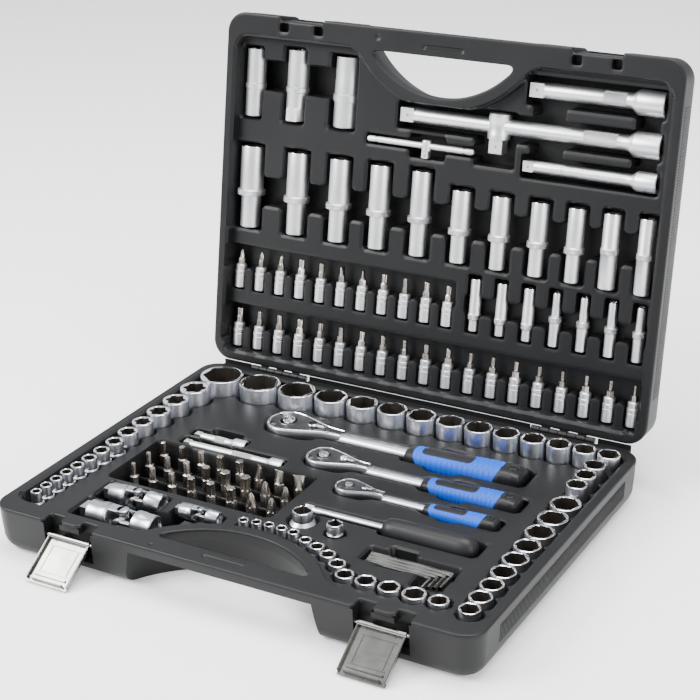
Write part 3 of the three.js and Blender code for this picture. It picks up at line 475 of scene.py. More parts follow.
def skin(side, regions):
    nx = int(round(2 * HALF_W / STEP)) + 3
    ny = int(round(2 * HALF_D / STEP)) + 3
    gx = (np.arange(nx) - (nx - 1) / 2) * STEP
    gy = (np.arange(ny) - (ny - 1) / 2) * STEP
    x, y = [a.copy() for a in np.meshgrid(gx, gy, indexing="ij")]
    depths = sorted({depth for depth, _ in regions})

    def fields(x, y):
        w = side * y
        own = both(shell_outline(x, w, side) + EDGE_ROUND, EDGE_ROUND - handle_hole(x, w), 1)
        every = [(depth, f(x, y)) for depth, f in regions]
        out = [own]
        for level in depths:
            out.append(np.minimum.reduce([s for depth, s in every if depth >= level]))
        return out

    first = fields(x, y)
    inside = [s < 0 for s in first]
    crossing = []
    for flag in inside:
        mark = np.zeros_like(flag)
        mark[1:, :] |= flag[1:, :] != flag[:-1, :]
        mark[:-1, :] |= flag[1:, :] != flag[:-1, :]
        mark[:, 1:] |= flag[:, 1:] != flag[:, :-1]
        mark[:, :-1] |= flag[:, 1:] != flag[:, :-1]
        crossing.append(mark)
    size = np.stack([np.where(m, np.abs(s), 99.0) for m, s in zip(crossing, first)])
    size[0] -= 5.0 * crossing[0]
    chosen = np.argmin(size, axis=0)
    moved = np.min(size, axis=0) < 90
    goal = np.zeros_like(x)
    for k, flag in enumerate(inside):
        here = chosen == k
        goal[here] = 0.0 if k == 0 else np.where(flag[here], -SNAP, SNAP)

    eps = 0.05
    for _ in range(3):
        now = np.choose(chosen, fields(x, y))
        dx = (np.choose(chosen, fields(x + eps, y)) - now) / eps
        dy = (np.choose(chosen, fields(x, y + eps)) - now) / eps
        norm = np.maximum(np.hypot(dx, dy), 0.3)
        shift = np.clip(goal - now, -STEP, STEP) * moved
        x += shift * dx / norm
        y += shift * dy / norm

    last = fields(x, y)
    z = np.zeros_like(x)
    for level, flag in zip(depths, inside[1:]):
        z[flag] = -level
    for k, level in enumerate(depths):
        s = last[k + 1]
        outside = ~inside[k + 1]
        previous = 0.0 if k == 0 else depths[k - 1]
        lip = min(LIP, (level - previous) * 0.8)
        near = outside & (s < lip) & (-z < level)
        t = np.clip(lip - s, 0, lip)
        z[near] -= (lip - np.sqrt(np.maximum(lip * lip - t * t, 0)))[near]

    ids = np.full(x.shape, 0)
    for k, flag in enumerate(inside[1:]):
        ids[flag] = k + 1
    kept = inside[0]
    number = np.full(x.shape, -1)
    number[kept] = np.arange(int(kept.sum()))
    verts = np.stack([x[kept], y[kept], z[kept]], axis=1)
    corners = [(slice(0, -1), slice(0, -1)), (slice(1, None), slice(0, -1)),
               (slice(1, None), slice(1, None)), (slice(0, -1), slice(1, None))]
    n4 = np.stack([number[c] for c in corners], axis=-1).reshape(-1, 4)
    i4 = np.stack([np.where(kept[c], ids[c], -1) for c in corners], axis=-1).reshape(-1, 4)
    faces = []
    for n, i in zip(n4.tolist(), i4.tolist()):
        if n.count(-1) > 1:
            continue
        odd = [k for k in range(4) if i.count(i[k]) == 1]
        if -1 in n:
            k = n.index(-1)
            faces.append((n[(k + 1) % 4], n[(k + 2) % 4], n[(k + 3) % 4]))
        elif len(odd) == 1:
            k = odd[0]
            faces.append((n[(k + 1) % 4], n[(k + 2) % 4], n[(k + 3) % 4]))
            faces.append((n[(k + 3) % 4], n[k], n[(k + 1) % 4]))
        else:
            faces.append(tuple(n))
    return verts, faces


def skirt(verts, faces, side, drop):
    """Rounds the skin's free edge over and takes it down to -drop."""
    bm = bmesh.new()
    for v in verts:
        bm.verts.new(v)
    bm.verts.ensure_lookup_table()
    for f in faces:
        bm.faces.new([bm.verts[i] for i in f])
    edges = [e for e in bm.edges if e.is_boundary]
    path = [(EDGE_ROUND * (1 - math.sin(a)), -EDGE_ROUND * (1 - math.cos(a))) for a in (0.5, 1.05, 1.57)]
    path.append((0.0, -drop))
    previous = EDGE_ROUND
    eps = 0.05

    def own(x, y):
        w = side * y
        return np.maximum(shell_outline(x, w, side), -handle_hole(x, w))

    for inset, z in path:
        made = bmesh.ops.extrude_edge_only(bm, edges=edges)["geom"]
        ring = [g for g in made if isinstance(g, bmesh.types.BMVert)]
        edges = [g for g in made if isinstance(g, bmesh.types.BMEdge) and g.is_boundary]
        px = np.array([v.co.x for v in ring])
        py = np.array([v.co.y for v in ring])
        here = own(px, py)
        dx = (own(px + eps, py) - here) / eps
        dy = (own(px, py + eps) - here) / eps
        norm = np.maximum(np.hypot(dx, dy), 0.5)
        for v, ox, oy in zip(ring, dx / norm, dy / norm):
            v.co.x += ox * (previous - inset)
            v.co.y += oy * (previous - inset)
            v.co.z = z
        previous = inset
    bm.verts.index_update()
    shape = (np.array([v.co[:] for v in bm.verts]), [tuple(v.index for v in f.verts) for f in bm.faces])
    bm.free()
    return shape


# %% [markdown]
# Below the rim, the outside of a half is a drafted wall that rounds into the bottom. Its openings,
# the finger hole with its flared recess and the latch notches, are cut from a closed solid with
# exact booleans. The solid's top is then deleted, because the skin closes it.

# %% The outer shell
def outline_points(inset, segments=8):
    w, d = HALF_W - inset, HALF_D - inset
    r = max(CORNER - inset * 0.5, 7)
    points = []
    for cx, cy, start in ((w - r, d - r, 0), (r - w, d - r, 90), (r - w, r - d, 180), (w - r, r - d, 270)):
        for k in range(segments + 1):
            a = math.radians(start + 90 * k / segments)
            points.append((cx + r * math.cos(a), cy + r * math.sin(a)))
    return points


def ring_quads(k, n):
    """The faces between ring k and the next, with n points in each."""
    a, b = k * n, (k + 1) * n
    return [(a + i, a + (i + 1) % n, b + (i + 1) % n, b + i) for i in range(n)]


def solid_object(name, verts, faces):
    mesh = bpy.data.meshes.new(name)
    mesh.from_pydata(verts, [], faces)
    made = bpy.data.objects.new(name, mesh)
    bpy.context.scene.collection.objects.link(made)
    bm = bmesh.new()
    bm.from_mesh(mesh)
    bmesh.ops.recalc_face_normals(bm, faces=bm.faces)
    bm.to_mesh(mesh)
    bm.free()
    return made


def extruded(name, points, z0, z1):
    n = len(points)
    verts = [(x, y, z0) for x, y in points] + [(x, y, z1) for x, y in points]
    faces = [(i, (i + 1) % n, (i + 1) % n + n, i + n) for i in range(n)]
    faces += [tuple(range(n - 1, -1, -1)), tuple(range(n, 2 * n))]
    return solid_object(name, verts, faces)


def flared_recess(side, name):
    """The finger recess below the bar: its far wall leans back on the way down."""
    rings = []
    levels = ((-BAR_THICK, HANDLE_ARC + 0.4), (-BAR_THICK - 14, HANDLE_ARC + 3), (-80, HANDLE_ARC + 17))
    for z, radius in levels:
        ring = []
        for k in range(73):
            a = math.radians(18 + 144 * k / 72)
            ring.append((radius * math.cos(a), side * (HANDLE_CENTRE + radius * math.sin(a)), z))
        rings.append(ring + [(-130, side * -230, z), (130, side * -230, z)])
    n = len(rings[0])
    faces = []
    for k in range(len(rings) - 1):
        faces += ring_quads(k, n)
    faces += [tuple(range(n)), tuple(range((len(rings) - 1) * n, len(rings) * n))]
    return solid_object(name, [p for ring in rings for p in ring], faces)


def notch_cutters(side, cx):
    """The recess for a latch. In the base a tongue of plastic is left at its top."""
    a = side * (-HALF_D - 9)
    if side < 0:
        b = side * (-HALF_D + CATCH_DEPTH - 0.2)
        corners = [(cx - CATCH_HALF, a), (cx + CATCH_HALF, a), (cx + CATCH_HALF, b), (cx - CATCH_HALF, b)]
        deep = side * (-HALF_D + CATCH_POCKET["depth"])
        half = CATCH_POCKET["half"]
        pocket = [(cx - half, a), (cx + half, a), (cx + half, deep), (cx - half, deep)]
        return [
            extruded("notch", corners, CATCH_LOW, 20),
            extruded("pocket", pocket, CATCH_LOW, CATCH_POCKET["top"]),
        ]
    b, front = -HALF_D + NOTCH_DEPTH - 0.2, -HALF_D + TONGUE_BACK
    n, t = NOTCH_HALF, TONGUE_HALF
    corners = [
        (cx - n, a), (cx + n, a), (cx + n, b), (cx + t, b), (cx + t, front), (cx - t, front), (cx - t, b),
        (cx - n, b),
    ]
    under = [(cx - t - 1, a), (cx + t + 1, a), (cx + t + 1, b), (cx - t - 1, b)]
    return [extruded("notch", corners, NOTCH_LOW, 20), extruded("under", under, NOTCH_LOW, TONGUE_LOW)]


def outer_shell(side, height):
    profile = [(0.2, -3.0), (0.9, -height * 0.4), (1.7, 12.5 - height), (2.6, 8.5 - height),
               (4.2, 5.2 - height), (6.6, 2.4 - height), (9.6, 0.6 - height), (13, -height)]
    rings = [[(x, y, z) for x, y in outline_points(inset)] for inset, z in profile]
    n = len(rings[0])
    faces = []
    for k in range(len(rings) - 1):
        faces += ring_quads(k, n)
    faces += [tuple(range(n)), tuple(range((len(rings) - 1) * n, len(rings) * n))]
    shell = solid_object("shell", [p for ring in rings for p in ring], faces)
    hole = []
    for k in range(41):
        a = math.radians(90 - 52) + math.radians(104) * k / 40
        hole.append((93.2 * math.cos(a), side * (HANDLE_CENTRE + 93.2 * math.sin(a))))
    hole = [p for p in hole if side * p[1] > BAR_BACK - 0.2]
    edge = hole[0][0]
    hole = hole + [(-edge + 6, side * (BAR_BACK - 0.2)), (edge - 6, side * (BAR_BACK - 0.2))]
    cutters = [
        extruded("hole", hole, -80, 20),
        flared_recess(side, "recess"),
    ]
    for cx in (-LATCH_X, LATCH_X):
        cutters += notch_cutters(side, cx)
    for cutter in cutters:
        cut = shell.modifiers.new("cut", "BOOLEAN")
        cut.operation = "DIFFERENCE"
        cut.solver = "EXACT"
        cut.object = cutter
    graph = bpy.context.evaluated_depsgraph_get()
    mesh = bpy.data.meshes.new_from_object(shell.evaluated_get(graph))
    bm = bmesh.new()
    bm.from_mesh(mesh)
    lid_faces = [f for f in bm.faces if f.normal.z > 0.95 and f.calc_center_median().z > -3.4]
    bmesh.ops.delete(bm, geom=lid_faces, context="FACES")
    sharp = [e for e in bm.edges if len(e.link_faces) == 2 and e.calc_face_angle(0) > math.radians(50)
             and not (abs(e.verts[0].co.x - e.verts[1].co.x) < 0.01 and e.calc_length() > 20
                      and abs(e.verts[0].co.x) < 92 and abs(e.verts[0].co.z - e.verts[1].co.z) > 20)]
    bmesh.ops.bevel(bm, geom=sharp, offset=0.9, segments=2, affect="EDGES", clamp_overlap=True)
    bm.verts.index_update()
    shape = (np.array([v.co[:] for v in bm.verts]), [tuple(v.index for v in f.verts) for f in bm.faces])
    bm.free()
    for extra in [shell, *cutters]:
        bpy.data.objects.remove(extra)
    return shape


# %% Side ribs and hinge knuckles
def side_ribs(parts, side, height, finish):
    """A band of fine upright ribs on each side wall, leaning with the wall's draft."""
    pitch, rib, top, low = 2.6, 1.2, -9.0, -26.0
    draft = 0.9 / (height * 0.4 - 3)
    middle = (top + low) / 2
    wall = HALF_W - 0.2 + draft * (middle + 3)
    for sign in (-1, 1):
        for y in np.arange(-128, 131, pitch):
            x0, x1 = sorted((sign * (wall - 0.8), sign * (wall + 0.5)))
            verts, faces = block(x0, x1, y - rib / 2, y + rib / 2, low, top, 0.3)
            verts[:, 0] += sign * draft * (verts[:, 2] - middle)
            parts.add((verts, faces), finish)


HINGE_X = abs(sum(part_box("hinge_pin_right")[i].x for i in (0, 1))) / 2 / MM
HINGE_LENGTH = (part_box("hinge_pin_right")[1].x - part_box("hinge_pin_right")[0].x) / MM
KNUCKLES = 7


def knuckle_row(parts, side, first):
    step = HINGE_LENGTH / KNUCKLES
    y = side * HINGE_Y
    for centre in (-HINGE_X, HINGE_X):
        for k in range(first, KNUCKLES, 2):
            x0 = centre - HINGE_LENGTH / 2 + k * step + 0.2
            length = step - 0.4
            barrel = loft([(0, 2.6), (0.4, 3.0), (length - 0.4, 3.0), (length, 2.6)])
            parts.add(barrel, 0, spot(x0, y, 0, TO_X))
            near, far = sorted((side * (HALF_D - 2), y))
            parts.add(block(x0, x0 + length, near, far, -3.0, -0.8, 0.3))


print("helpers for the case are ready")


# %% [markdown]
# ## Where the sockets stand
#
# The rows are graded: each socket is a little smaller than the last, with even gaps. The sizes
# below and the row's own box in the frame are enough to find every centre.

# %% Row layouts
BACK_ROW = [42, 40, 36.5, 32, 30, 28.5, 28, 26.5, 26, 24.5, 23, 22.5, 21, 20.5]
STAR_ROW = [28.5, 25, 22.5, 20, 19, 16.5, 15, 14, 12.5, 11.5, 11, 10.5, 10]
RIGHT_ROW = [20, 19.5, 19, 27, 26.5, 25.5, 23, 22.5, 21.5, 20, 19.5, 18]
FRONT_ROW = [9, 9, 9, 9.5, 10, 11, 12.5, 13.5, 14.5, 16, 17.5, 18.5, 20, 17]


FOOT_STEP = 1.2  # the small star sockets stand on feet this much wider than their mouths
FOOT_TOP = -12


def row_box(node):
    low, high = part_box(node)
    return low / MM, high / MM


def back_row():
    low, high = row_box("half_inch_socket_row")
    places = spread(BACK_ROW, high.x - low.x)
    return [(low.x + t, high.y - d / 2, d, 4.2, 42 if d > 38 else 38) for t, d in zip(places, BACK_ROW)]


def star_row():
    low, high = row_box("star_socket_row")
    places = spread(STAR_ROW, high.y - low.y - FOOT_STEP)
    out = []
    for i, (t, d) in enumerate(zip(places, STAR_ROW)):
        top = 3.5 - 4.5 * min(1, 2 * i / (len(STAR_ROW) - 1))
        wide = d / 2 if i < 5 else d / 2 + FOOT_STEP
        out.append((low.x + wide, high.y - t, d, top, 38 if i < 5 else 29 if i < 9 else 25))
    return out


def right_row():
    low, high = row_box("three_eighth_socket_row")
    places = spread(RIGHT_ROW, high.y - low.y)
    x = (low.x + high.x) / 2
    return [(x, high.y - t, d, 2.5 if i < 3 else -5, 38 if i < 3 else 28)
            for i, (t, d) in enumerate(zip(places, RIGHT_ROW))]


def front_row():
    """Round the handle on an arc, and then straight along the front."""
    radius, first, end = TRAY_ARC + 17, math.radians(105), 180
    y = -HALF_D + FRONT_RIM + 27.5
    last = math.asin((y - HANDLE_CENTRE) / radius)
    arc, straight = (first - last) * radius, radius * math.cos(last)
    out = []
    for i, (t, d) in enumerate(zip(spread(FRONT_ROW, arc + end - straight), FRONT_ROW)):
        if t > arc:
            x, yy = straight + t - arc, y
        else:
            a = first - t / radius
            x, yy = radius * math.cos(a), HANDLE_CENTRE + radius * math.sin(a)
        out.append((x, yy, d, -5 if i < 5 else -7.5, 25))
    return out


ROWS = {"back": back_row(), "star": star_row(), "right": right_row(), "front": front_row()}
print({name: len(row) for name, row in ROWS.items()})

# %% Where the tools lie
RATCHETS = {}
for word in ("half_inch", "three_eighth", "quarter"):
    low, high = row_box(word + "_ratchet_body")
    grip_low, grip_high = row_box(word + "_ratchet_grip")
    pivot = Vector(joints[word + "_drive_spin"]["pos_m"]) / MM
    RATCHETS[word] = {
        "k": (high.y - low.y) / 41,
        "x0": low.x,
        "grip": (grip_low.x, grip_high.x),
        "grip_z": (grip_low.z + grip_high.z) / 2 - RIM_Z,
        "pivot": (pivot.x, pivot.y),
        "top": high.z - RIM_Z,
        "lever_x": joints[word + "_lever_turn"]["pos_m"][0] / MM,
    }
DRIVES = {"half_inch": 12.7, "three_eighth": 9.5, "quarter": 6.35}
UNIVERSALS = {}
for word in ("half_inch", "three_eighth", "quarter"):
    low, high = row_box(word + "_joint_socket_fork")
    centre = Vector(joints[word + "_joint_lift"]["pos_m"]) / MM
    UNIVERSALS[word] = {"k": (high.z - low.z) / 24, "at": (centre.x, centre.y, centre.z - RIM_Z)}
print({name: round(r["k"], 2) for name, r in RATCHETS.items()})


# %% Pocket shapes of the base
def box_region(x0, x1, y0, y1, depth, r=2.0):
    return depth, lambda x, y: box_distance(x, y, x0, x1, y0, y1, r)


def disc_region(cx, cy, r, depth):
    return depth, lambda x, y: disc_distance(x, y, cx, cy, r)


def joined(depth, boxes, blend, r=2.0):
    def distance(x, y):
        d = box_distance(x, y, *boxes[0], r)
        for b in boxes[1:]:
            d = either(d, box_distance(x, y, *b, r), blend)
        return d

    return depth, distance


def ratchet_region(boxes, head_round, depth):
    """A rounded pocket for the head, joined to those for the shaft and the grip."""
    def distance(x, y):
        head = box_distance(x, y, *boxes[0], head_round)
        rest = either(box_distance(x, y, *boxes[1], 2), box_distance(x, y, *boxes[2], 5), 4)
        return either(head, rest, 5)

    return depth, distance


def base_regions():
    regions = [(1.2, lambda x, y: tray(x, y, 2.6)), (TRAY_DROP, lambda x, y: tray(x, y))]
    for name, depth in (("back", 34.5), ("star", 34.5), ("right", 34.5), ("front", 34.5)):
        for x, y, d, top, length in ROWS[name]:
            wide = FOOT_STEP + 0.5 if name == "star" and d < 18 else 0.9
            regions.append(disc_region(x, y, d / 2 + wide, depth))
    for r in RATCHETS.values():
        k, x0, (px, py) = r["k"], r["x0"], r["pivot"]
        g0, g1 = r["grip"]
        boxes = [
            (x0 - 1, x0 + 62 * k, py - 21.5 * k, py + 21.5 * k),
            (x0 + 40 * k, g0 + 4, py - 9.5 * k, py + 9.5 * k),
            (g0 - 2, g1 + 4, py - 16.2 * k, py + 16.2 * k),
        ]
        depth = 6 + 17 * k + 1
        regions.append(ratchet_region(boxes, 19 * k, depth))
        finger = (g0 + 26 * k, g0 + 58 * k, py - 23 * k, py + 23 * k)
        regions.append(box_region(*finger, depth, 5))
    regions.append(joined(24, [(0.5, 90, -40, -28), (76, 166.5, -46.2, -21.8)], 3, 3))
    regions.append(joined(24, [(84, 165, -89, -67), (138, 165, -106, -80), (100, 124, -92, -60)], 3, 3))
    for u in UNIVERSALS.values():
        (x, y, z), k = u["at"], u["k"]
        regions.append(joined(28, [
            (x - 6, x + 33 * k + 1.5, y - 12.6 * k - 0.6, y + 12.6 * k + 0.6),
            (x - 45 * k, x + 4, y - 12 * k - 5, y + 12 * k + 5)], 3, 3))
    regions.append(joined(28, [(-160, -84, -109, -97), (-96, -78, -130, -97)], 3, 3))
    regions.append(box_region(-182, -16, -64, 15, 36.5, 4))
    regions.append(box_region(-20, 20, -160.9, -156.9, 0.9, 0.5))
    regions.append(disc_region(-66.2, -162.9, 2.6, 0.6))
    regions.append(joined(21, [(-166, -56, 21, 35), (-166, -106, 39, 53), (-150, -118, 18, 60)], 3, 3))
    for node in ("adapter_large", "adapter_small"):
        low, high = row_box(node)
        regions.append(
            disc_region((low.x + high.x) / 2, (low.y + high.y) / 2, (high.y - low.y) / 2 + 0.9, 34.5)
        )
    return regions


# %% Pocket shapes of the lid
def lid_y(v):
    return v - HINGE_Y


DEEP_TOP = -3.4
DEEP_BOTTOM = 137
DEEP_LENGTHS = [80] * 5 + [68] * 6
DEEP_DIAMETERS = [27.4, 25.3, 24.5, 23.5, 22.5, 21.5, 20.5, 19.5, 18.5, 16.5, 15.5]
DEEP_X = [-202.6, -150.5, -104, -60.5, -17, 25, 65, 103, 138.5, 172, 205]
SPARK_PLUGS = [(-204, 20, 64), (-158, 22, 67), (-105, 27, 66)]
UPPER_BITS = [-209 + 227.5 * i / 10 for i in range(11)]
QUARTER_DEEP = [46 + 160 * i / 6 for i in range(7)]
LOWER_BITS = [-208 + 416 * i / 18 for i in range(19)]


def slots_and_channel(depth, slots, channel, blend, r=1.5):
    """Slots for lying sockets, joined by a cross channel that leaves arched tongues between them."""
    def distance(x, y):
        d = np.minimum.reduce([box_distance(x, y, *s, r) for s in slots])
        return either(d, box_distance(x, y, *channel, 3), blend)

    return depth, distance


def lid_regions():
    def lid_tray(grow):
        return lambda x, y: tray(x, -y, grow)

    regions = [(1.2, lid_tray(2.6)), (TRAY_DROP, lid_tray(0))]
    deep = []
    for x, d, length in zip(DEEP_X, DEEP_DIAMETERS, DEEP_LENGTHS):
        end = DEEP_BOTTOM + length + 3
        deep.append((x - d / 2 - 0.9, x + d / 2 + 2.2, lid_y(DEEP_BOTTOM - 1.5), lid_y(end)))
    regions.append(slots_and_channel(34, deep, (-214, 215, lid_y(161), lid_y(188)), 5))
    w = 6.9
    for xs, bottom, body, reach in ((UPPER_BITS, 75, 24, 43), (LOWER_BITS, 15.5, 24, 43)):
        slots = [(x - w, x + w, lid_y(bottom - 1.5), lid_y(bottom + body + 4)) for x in xs]
        channel = (xs[0] - 9, xs[-1] + 9, lid_y(bottom + 21), lid_y(bottom + reach + 1))
        regions.append(slots_and_channel(25, slots, channel, 4.2))
    slots = [(x - w, x + w, lid_y(73.5), lid_y(129)) for x in QUARTER_DEEP]
    regions.append(slots_and_channel(25, slots, (QUARTER_DEEP[0] - 9, 215, lid_y(92), lid_y(108)), 4.2))
    for x, d, length in SPARK_PLUGS:
        w = d / 2 + 0.9
        regions.append(box_region(x - w, x + w, lid_y(244), lid_y(248 + length), 37, 2))
    regions.append(box_region(-214, -91, lid_y(272), lid_y(300), 37, 4))
    bars = [(-45.5, 210, 253.8, 279.2), (80.5, 210, 289.8, 316.2), (80.5, 210, 224.4, 245.6),
            (88, 119, 226, 312), (184, 206, 226, 312), (-76.5, 35.5, 235.5, 245.5), (-31, 5, 228.5, 250.5),
            (34, 74, 230, 281)]
    for cx in (-LATCH_X, LATCH_X):
        for x0 in (cx - 23, cx + 14):
            regions.append(box_region(x0, x0 + 9, lid_y(330), lid_y(338), 9, 1.5))
    regions.append(box_region(-20, 22, lid_y(329.2), lid_y(332.6), 0.9, 0.5))
    regions.append(disc_region(-65.4, lid_y(335.5), 2.6, 0.6))
    regions.append(joined(32, [(a, b, lid_y(c), lid_y(e)) for a, b, c, e in bars], 2.5, 2))
    return regions


# %% Mould both halves
def case_half(name, side, height, regions, first_knuckle, body, node, at):
    parts = Parts()
    verts, faces = skin(side, regions)
    parts.add(skirt(verts, faces, side, 3.4))
    parts.add(outer_shell(side, height))
    side_ribs(parts, side, height, 1)
    knuckle_row(parts, side, first_knuckle)
    if side > 0:
        for cx in (-LATCH_X, LATCH_X):
            for sign in (-1, 1):
                x = cx + sign * 12.5
                parts.add(block(x - 1.5, x + 1.5, -170.5, -158, -31, -18, 1.0))
        edge, gap = HALF_W - 13, HINGE_LENGTH / 2 + 2
        for x0, x1 in ((-edge, -HINGE_X - gap), (gap - HINGE_X, HINGE_X - gap), (HINGE_X + gap, edge)):
            parts.add(block(x0, x1, HALF_D - 2, HINGE_Y + 3, -5, -1.6, 0.6))
            parts.add(block(x0, x1, HINGE_Y + 1.4, HINGE_Y + 3, -4.5, 2.3, 0.4))
        for y in (-27, -3):
            parts.add(block(-181, -17, y - 1.6, y + 1.6, -37, -28, 0.8))
    return piece(name, parts, [CASE, CASE_RIBBED], body, [node], at, sharp=42, outward=False)


case_half("moulded_base", 1, BASE_HEIGHT, base_regions(), 0, "base", "base_case", base_at)
case_half("moulded_lid", -1, LID_HEIGHT, lid_regions(), 1, "lid", "lid_case", lid_at)


# %% [markdown]
# ## Sockets
#
# A socket is a turned sleeve. Its mouth has a polished rim, a small chamfer, and a broached bore
# that stays matt. One function makes them all: the outside is a list of heights and radii, and the
# opening is a hexagon, a star or a square.

# %% Socket maker
def socket(outside, opening, depth, rim=0.8):
    """outside: (height, radius) from the drive end up. Returns the shape and a finish per face."""
    top, radius = outside[-1]
    flare = float(np.max(opening)) + 0.12 * rim
    rings = [(0.0, outside[0][1] * 0.5)]
    rings += [(h, r) for h, r in outside[:-1]]
    rings += [(top - 0.9 * rim, radius), (top - 0.3 * rim, radius - 0.25 * rim), (top, radius - 0.75 * rim)]
    count_outer = len(rings) - 3
    rings += [(top, min(flare + 0.2 * rim, radius - 0.8 * rim)), (top - 0.4 * rim, opening)]
    count_rim = len(rings) - 1
    rings += [(top - depth, opening), (top - depth, opening * 0.45), (top - depth - 3, opening * 0.45)]
    verts, faces = loft([(h, r if not np.isscalar(r) else round_ring(r)) for h, r in rings], True, True)
    finish = []
    for k in range(len(rings) - 1):
        finish += [0 if k < count_outer else 1 if k < count_rim else 2] * RING
    finish += [0, 2]
    return (verts, faces), finish


def plain_outside(d, length):
    r = d / 2
    return [(0, r - 0.7), (0.7, r), (length, r)]


def footed_outside(d, length, foot, foot_height):
    r = d / 2
    return [
        (0, foot - 0.7), (0.7, foot), (foot_height, foot), (foot_height + max(foot - r, 0.5), r),
        (length, r),
    ]


def hexagon(d):
    return polygon_ring(0.392 * d - 0.3, 6)


def standing_row(name, row, node, opening_of, footed_below=0):
    """Sockets smaller than footed_below stand on a wider foot."""
    parts = Parts()
    for x, y, d, top, length in row:
        outside = plain_outside(d, length)
        if d < footed_below:
            outside = footed_outside(d, length, d / 2 + FOOT_STEP, FOOT_TOP - top + length)
        shape, finish = socket(
            outside, opening_of(d), min(0.5 * length, 0.62 * d + 2), min(1.0, 0.05 * d + 0.25),
        )
        parts.add(shape, finish, spot(x, y, top - length, spin=0.3 + x * 0.01))
    return piece(name, parts, [SATIN, BRIGHT, BORE], "base", [node], base_at, outward=False)


standing_row("half_inch_sockets", ROWS["back"], "half_inch_socket_row", hexagon)
standing_row("three_eighth_sockets", ROWS["right"], "three_eighth_socket_row", hexagon)
standing_row(
    "quarter_sockets", ROWS["front"], "quarter_socket_row", lambda d: polygon_ring(0.38 * d - 0.4, 6),
)
standing_row("star_sockets", ROWS["star"], "star_socket_row", lambda d: star_ring(0.40 * d, 0.30 * d), 18)

# %% Adapters
for node, hole in (("adapter_large", 6.35), ("adapter_small", 4.75)):
    low, high = row_box(node)
    d, foot, h = (17, 11.5, 34) if node == "adapter_large" else (13.6, 7, 28)
    outside = [
        (0, foot - 1), (1, foot), (0.66 * h, foot), (0.70 * h, foot - 1.5), (0.74 * h, d / 2), (h, d / 2),
    ]
    shape, finish = socket(outside, polygon_ring(hole, 4), 10, 0.9)
    parts = Parts()
    parts.add(shape, finish, spot((low.x + high.x) / 2, (low.y + high.y) / 2, low.z - RIM_Z, spin=0.4))
    piece(
        node.replace("adapter", "drive_adapter"), parts, [SATIN, BRIGHT, BORE], "base", [node],
        base_at, outward=False,
    )


# %% [markdown]
# ## Driver bits
#
# Two dozen bits stand in a sunk rack. Each is a short hexagon bar with a formed tip: cross, slotted,
# hexagon or star. A tip is the same loft with radii that follow its section.

# %% Bits
def slotted_ring(width, thick):
    return np.minimum(
        width / np.maximum(np.abs(np.cos(ANGLES)), 1e-3), thick / np.maximum(np.abs(np.sin(ANGLES)), 1e-3),
    )


def cross_ring(r, cut):
    return r * (1 - cut * (0.5 - 0.5 * np.cos(4 * ANGLES)))


def bit_shape(kind, size, height, shank=3.9):
    rings = [(0, polygon_ring(shank - 0.4, 6)), (0.5, polygon_ring(shank, 6))]
    neck = height * 0.55
    rings += [(neck, polygon_ring(shank, 6)), (neck + 0.8, size)]
    if kind == "hex":
        rings += [(height - 0.5, polygon_ring(size, 6)), (height, polygon_ring(size - 0.4, 6))]
    elif kind == "star":
        rings += [
            (neck + 1.6, star_ring(size, size * 0.78)), (height - 0.5, star_ring(size, size * 0.78)),
            (height, star_ring(size * 0.85, size * 0.68)),
        ]
    elif kind == "cross":
        rings += [
            (neck + 3, cross_ring(size, 0.15)), (height - 2, cross_ring(size * 0.55, 0.55)),
            (height, cross_ring(size * 0.15, 0.5)),
        ]
    else:
        rings += [
            (neck + 2, slotted_ring(size, size * 0.7)), (height - 0.3, slotted_ring(size * 1.25, 0.7)),
            (height, slotted_ring(size * 1.2, 0.5)),
        ]
    return loft(rings)


parts = Parts()
low, high = row_box("driver_bits")
kinds = [["hex", "hex", "star", "star", "star", "slot", "slot", "slot"],
         ["star", "star", "star", "hex", "hex", "hex", "cross", "cross"],
         ["star", "star", "star", "star", "star", "star", "cross", "cross"]]
columns, rows = len(kinds[0]), len(kinds)
x0, x1, y0, y1 = low.x + 6, high.x - 11.5, low.y + 5, high.y - 5
for j in range(rows):
    for i in range(columns):
        x = x0 + (x1 - x0) * i / (columns - 1)
        y = y1 - (y1 - y0) * j / (rows - 1)
        size = 2.1 + 0.42 * i + 0.2 * ((i + j) % 2)
        if kinds[j][i] in ("cross", "slot"):
            size = 4.2
        shank = max(3.9, size + 0.3)
        parts.add(
            bit_shape(kinds[j][i], size, 28.2, shank), 0, spot(x, y, low.z - RIM_Z + 0.3, spin=0.5 * i + j),
        )
piece("driver_bit_rack", parts, [STEEL], "base", ["driver_bits"], base_at)


# %% [markdown]
# ## Lying sockets in the lid
#
# They are the same turned shapes, laid along the lid. Deep sockets have a raised, knurled ring
# about a third of the way up, and bit sockets carry a hardened bit pressed into their end.

# %% Deep sockets
def ringed_socket(d, length, ring_at, upper, lower, depth, opening):
    r, ru, rl = d / 2, upper / 2, lower / 2
    w = 2.6
    outside = [
        (0, rl - 0.8), (0.8, rl), (ring_at - w - 0.6, rl), (ring_at - w, r - 0.3), (ring_at - w + 0.4, r),
        (ring_at + w - 0.4, r), (ring_at + w, r - 0.3), (ring_at + w + 0.8, ru), (length, ru),
    ]
    shape, finish = socket(outside, opening, depth)
    for k in (5, 6):
        for i in range(RING):
            if k == 5:
                finish[k * RING + i] = 3
    return shape, finish


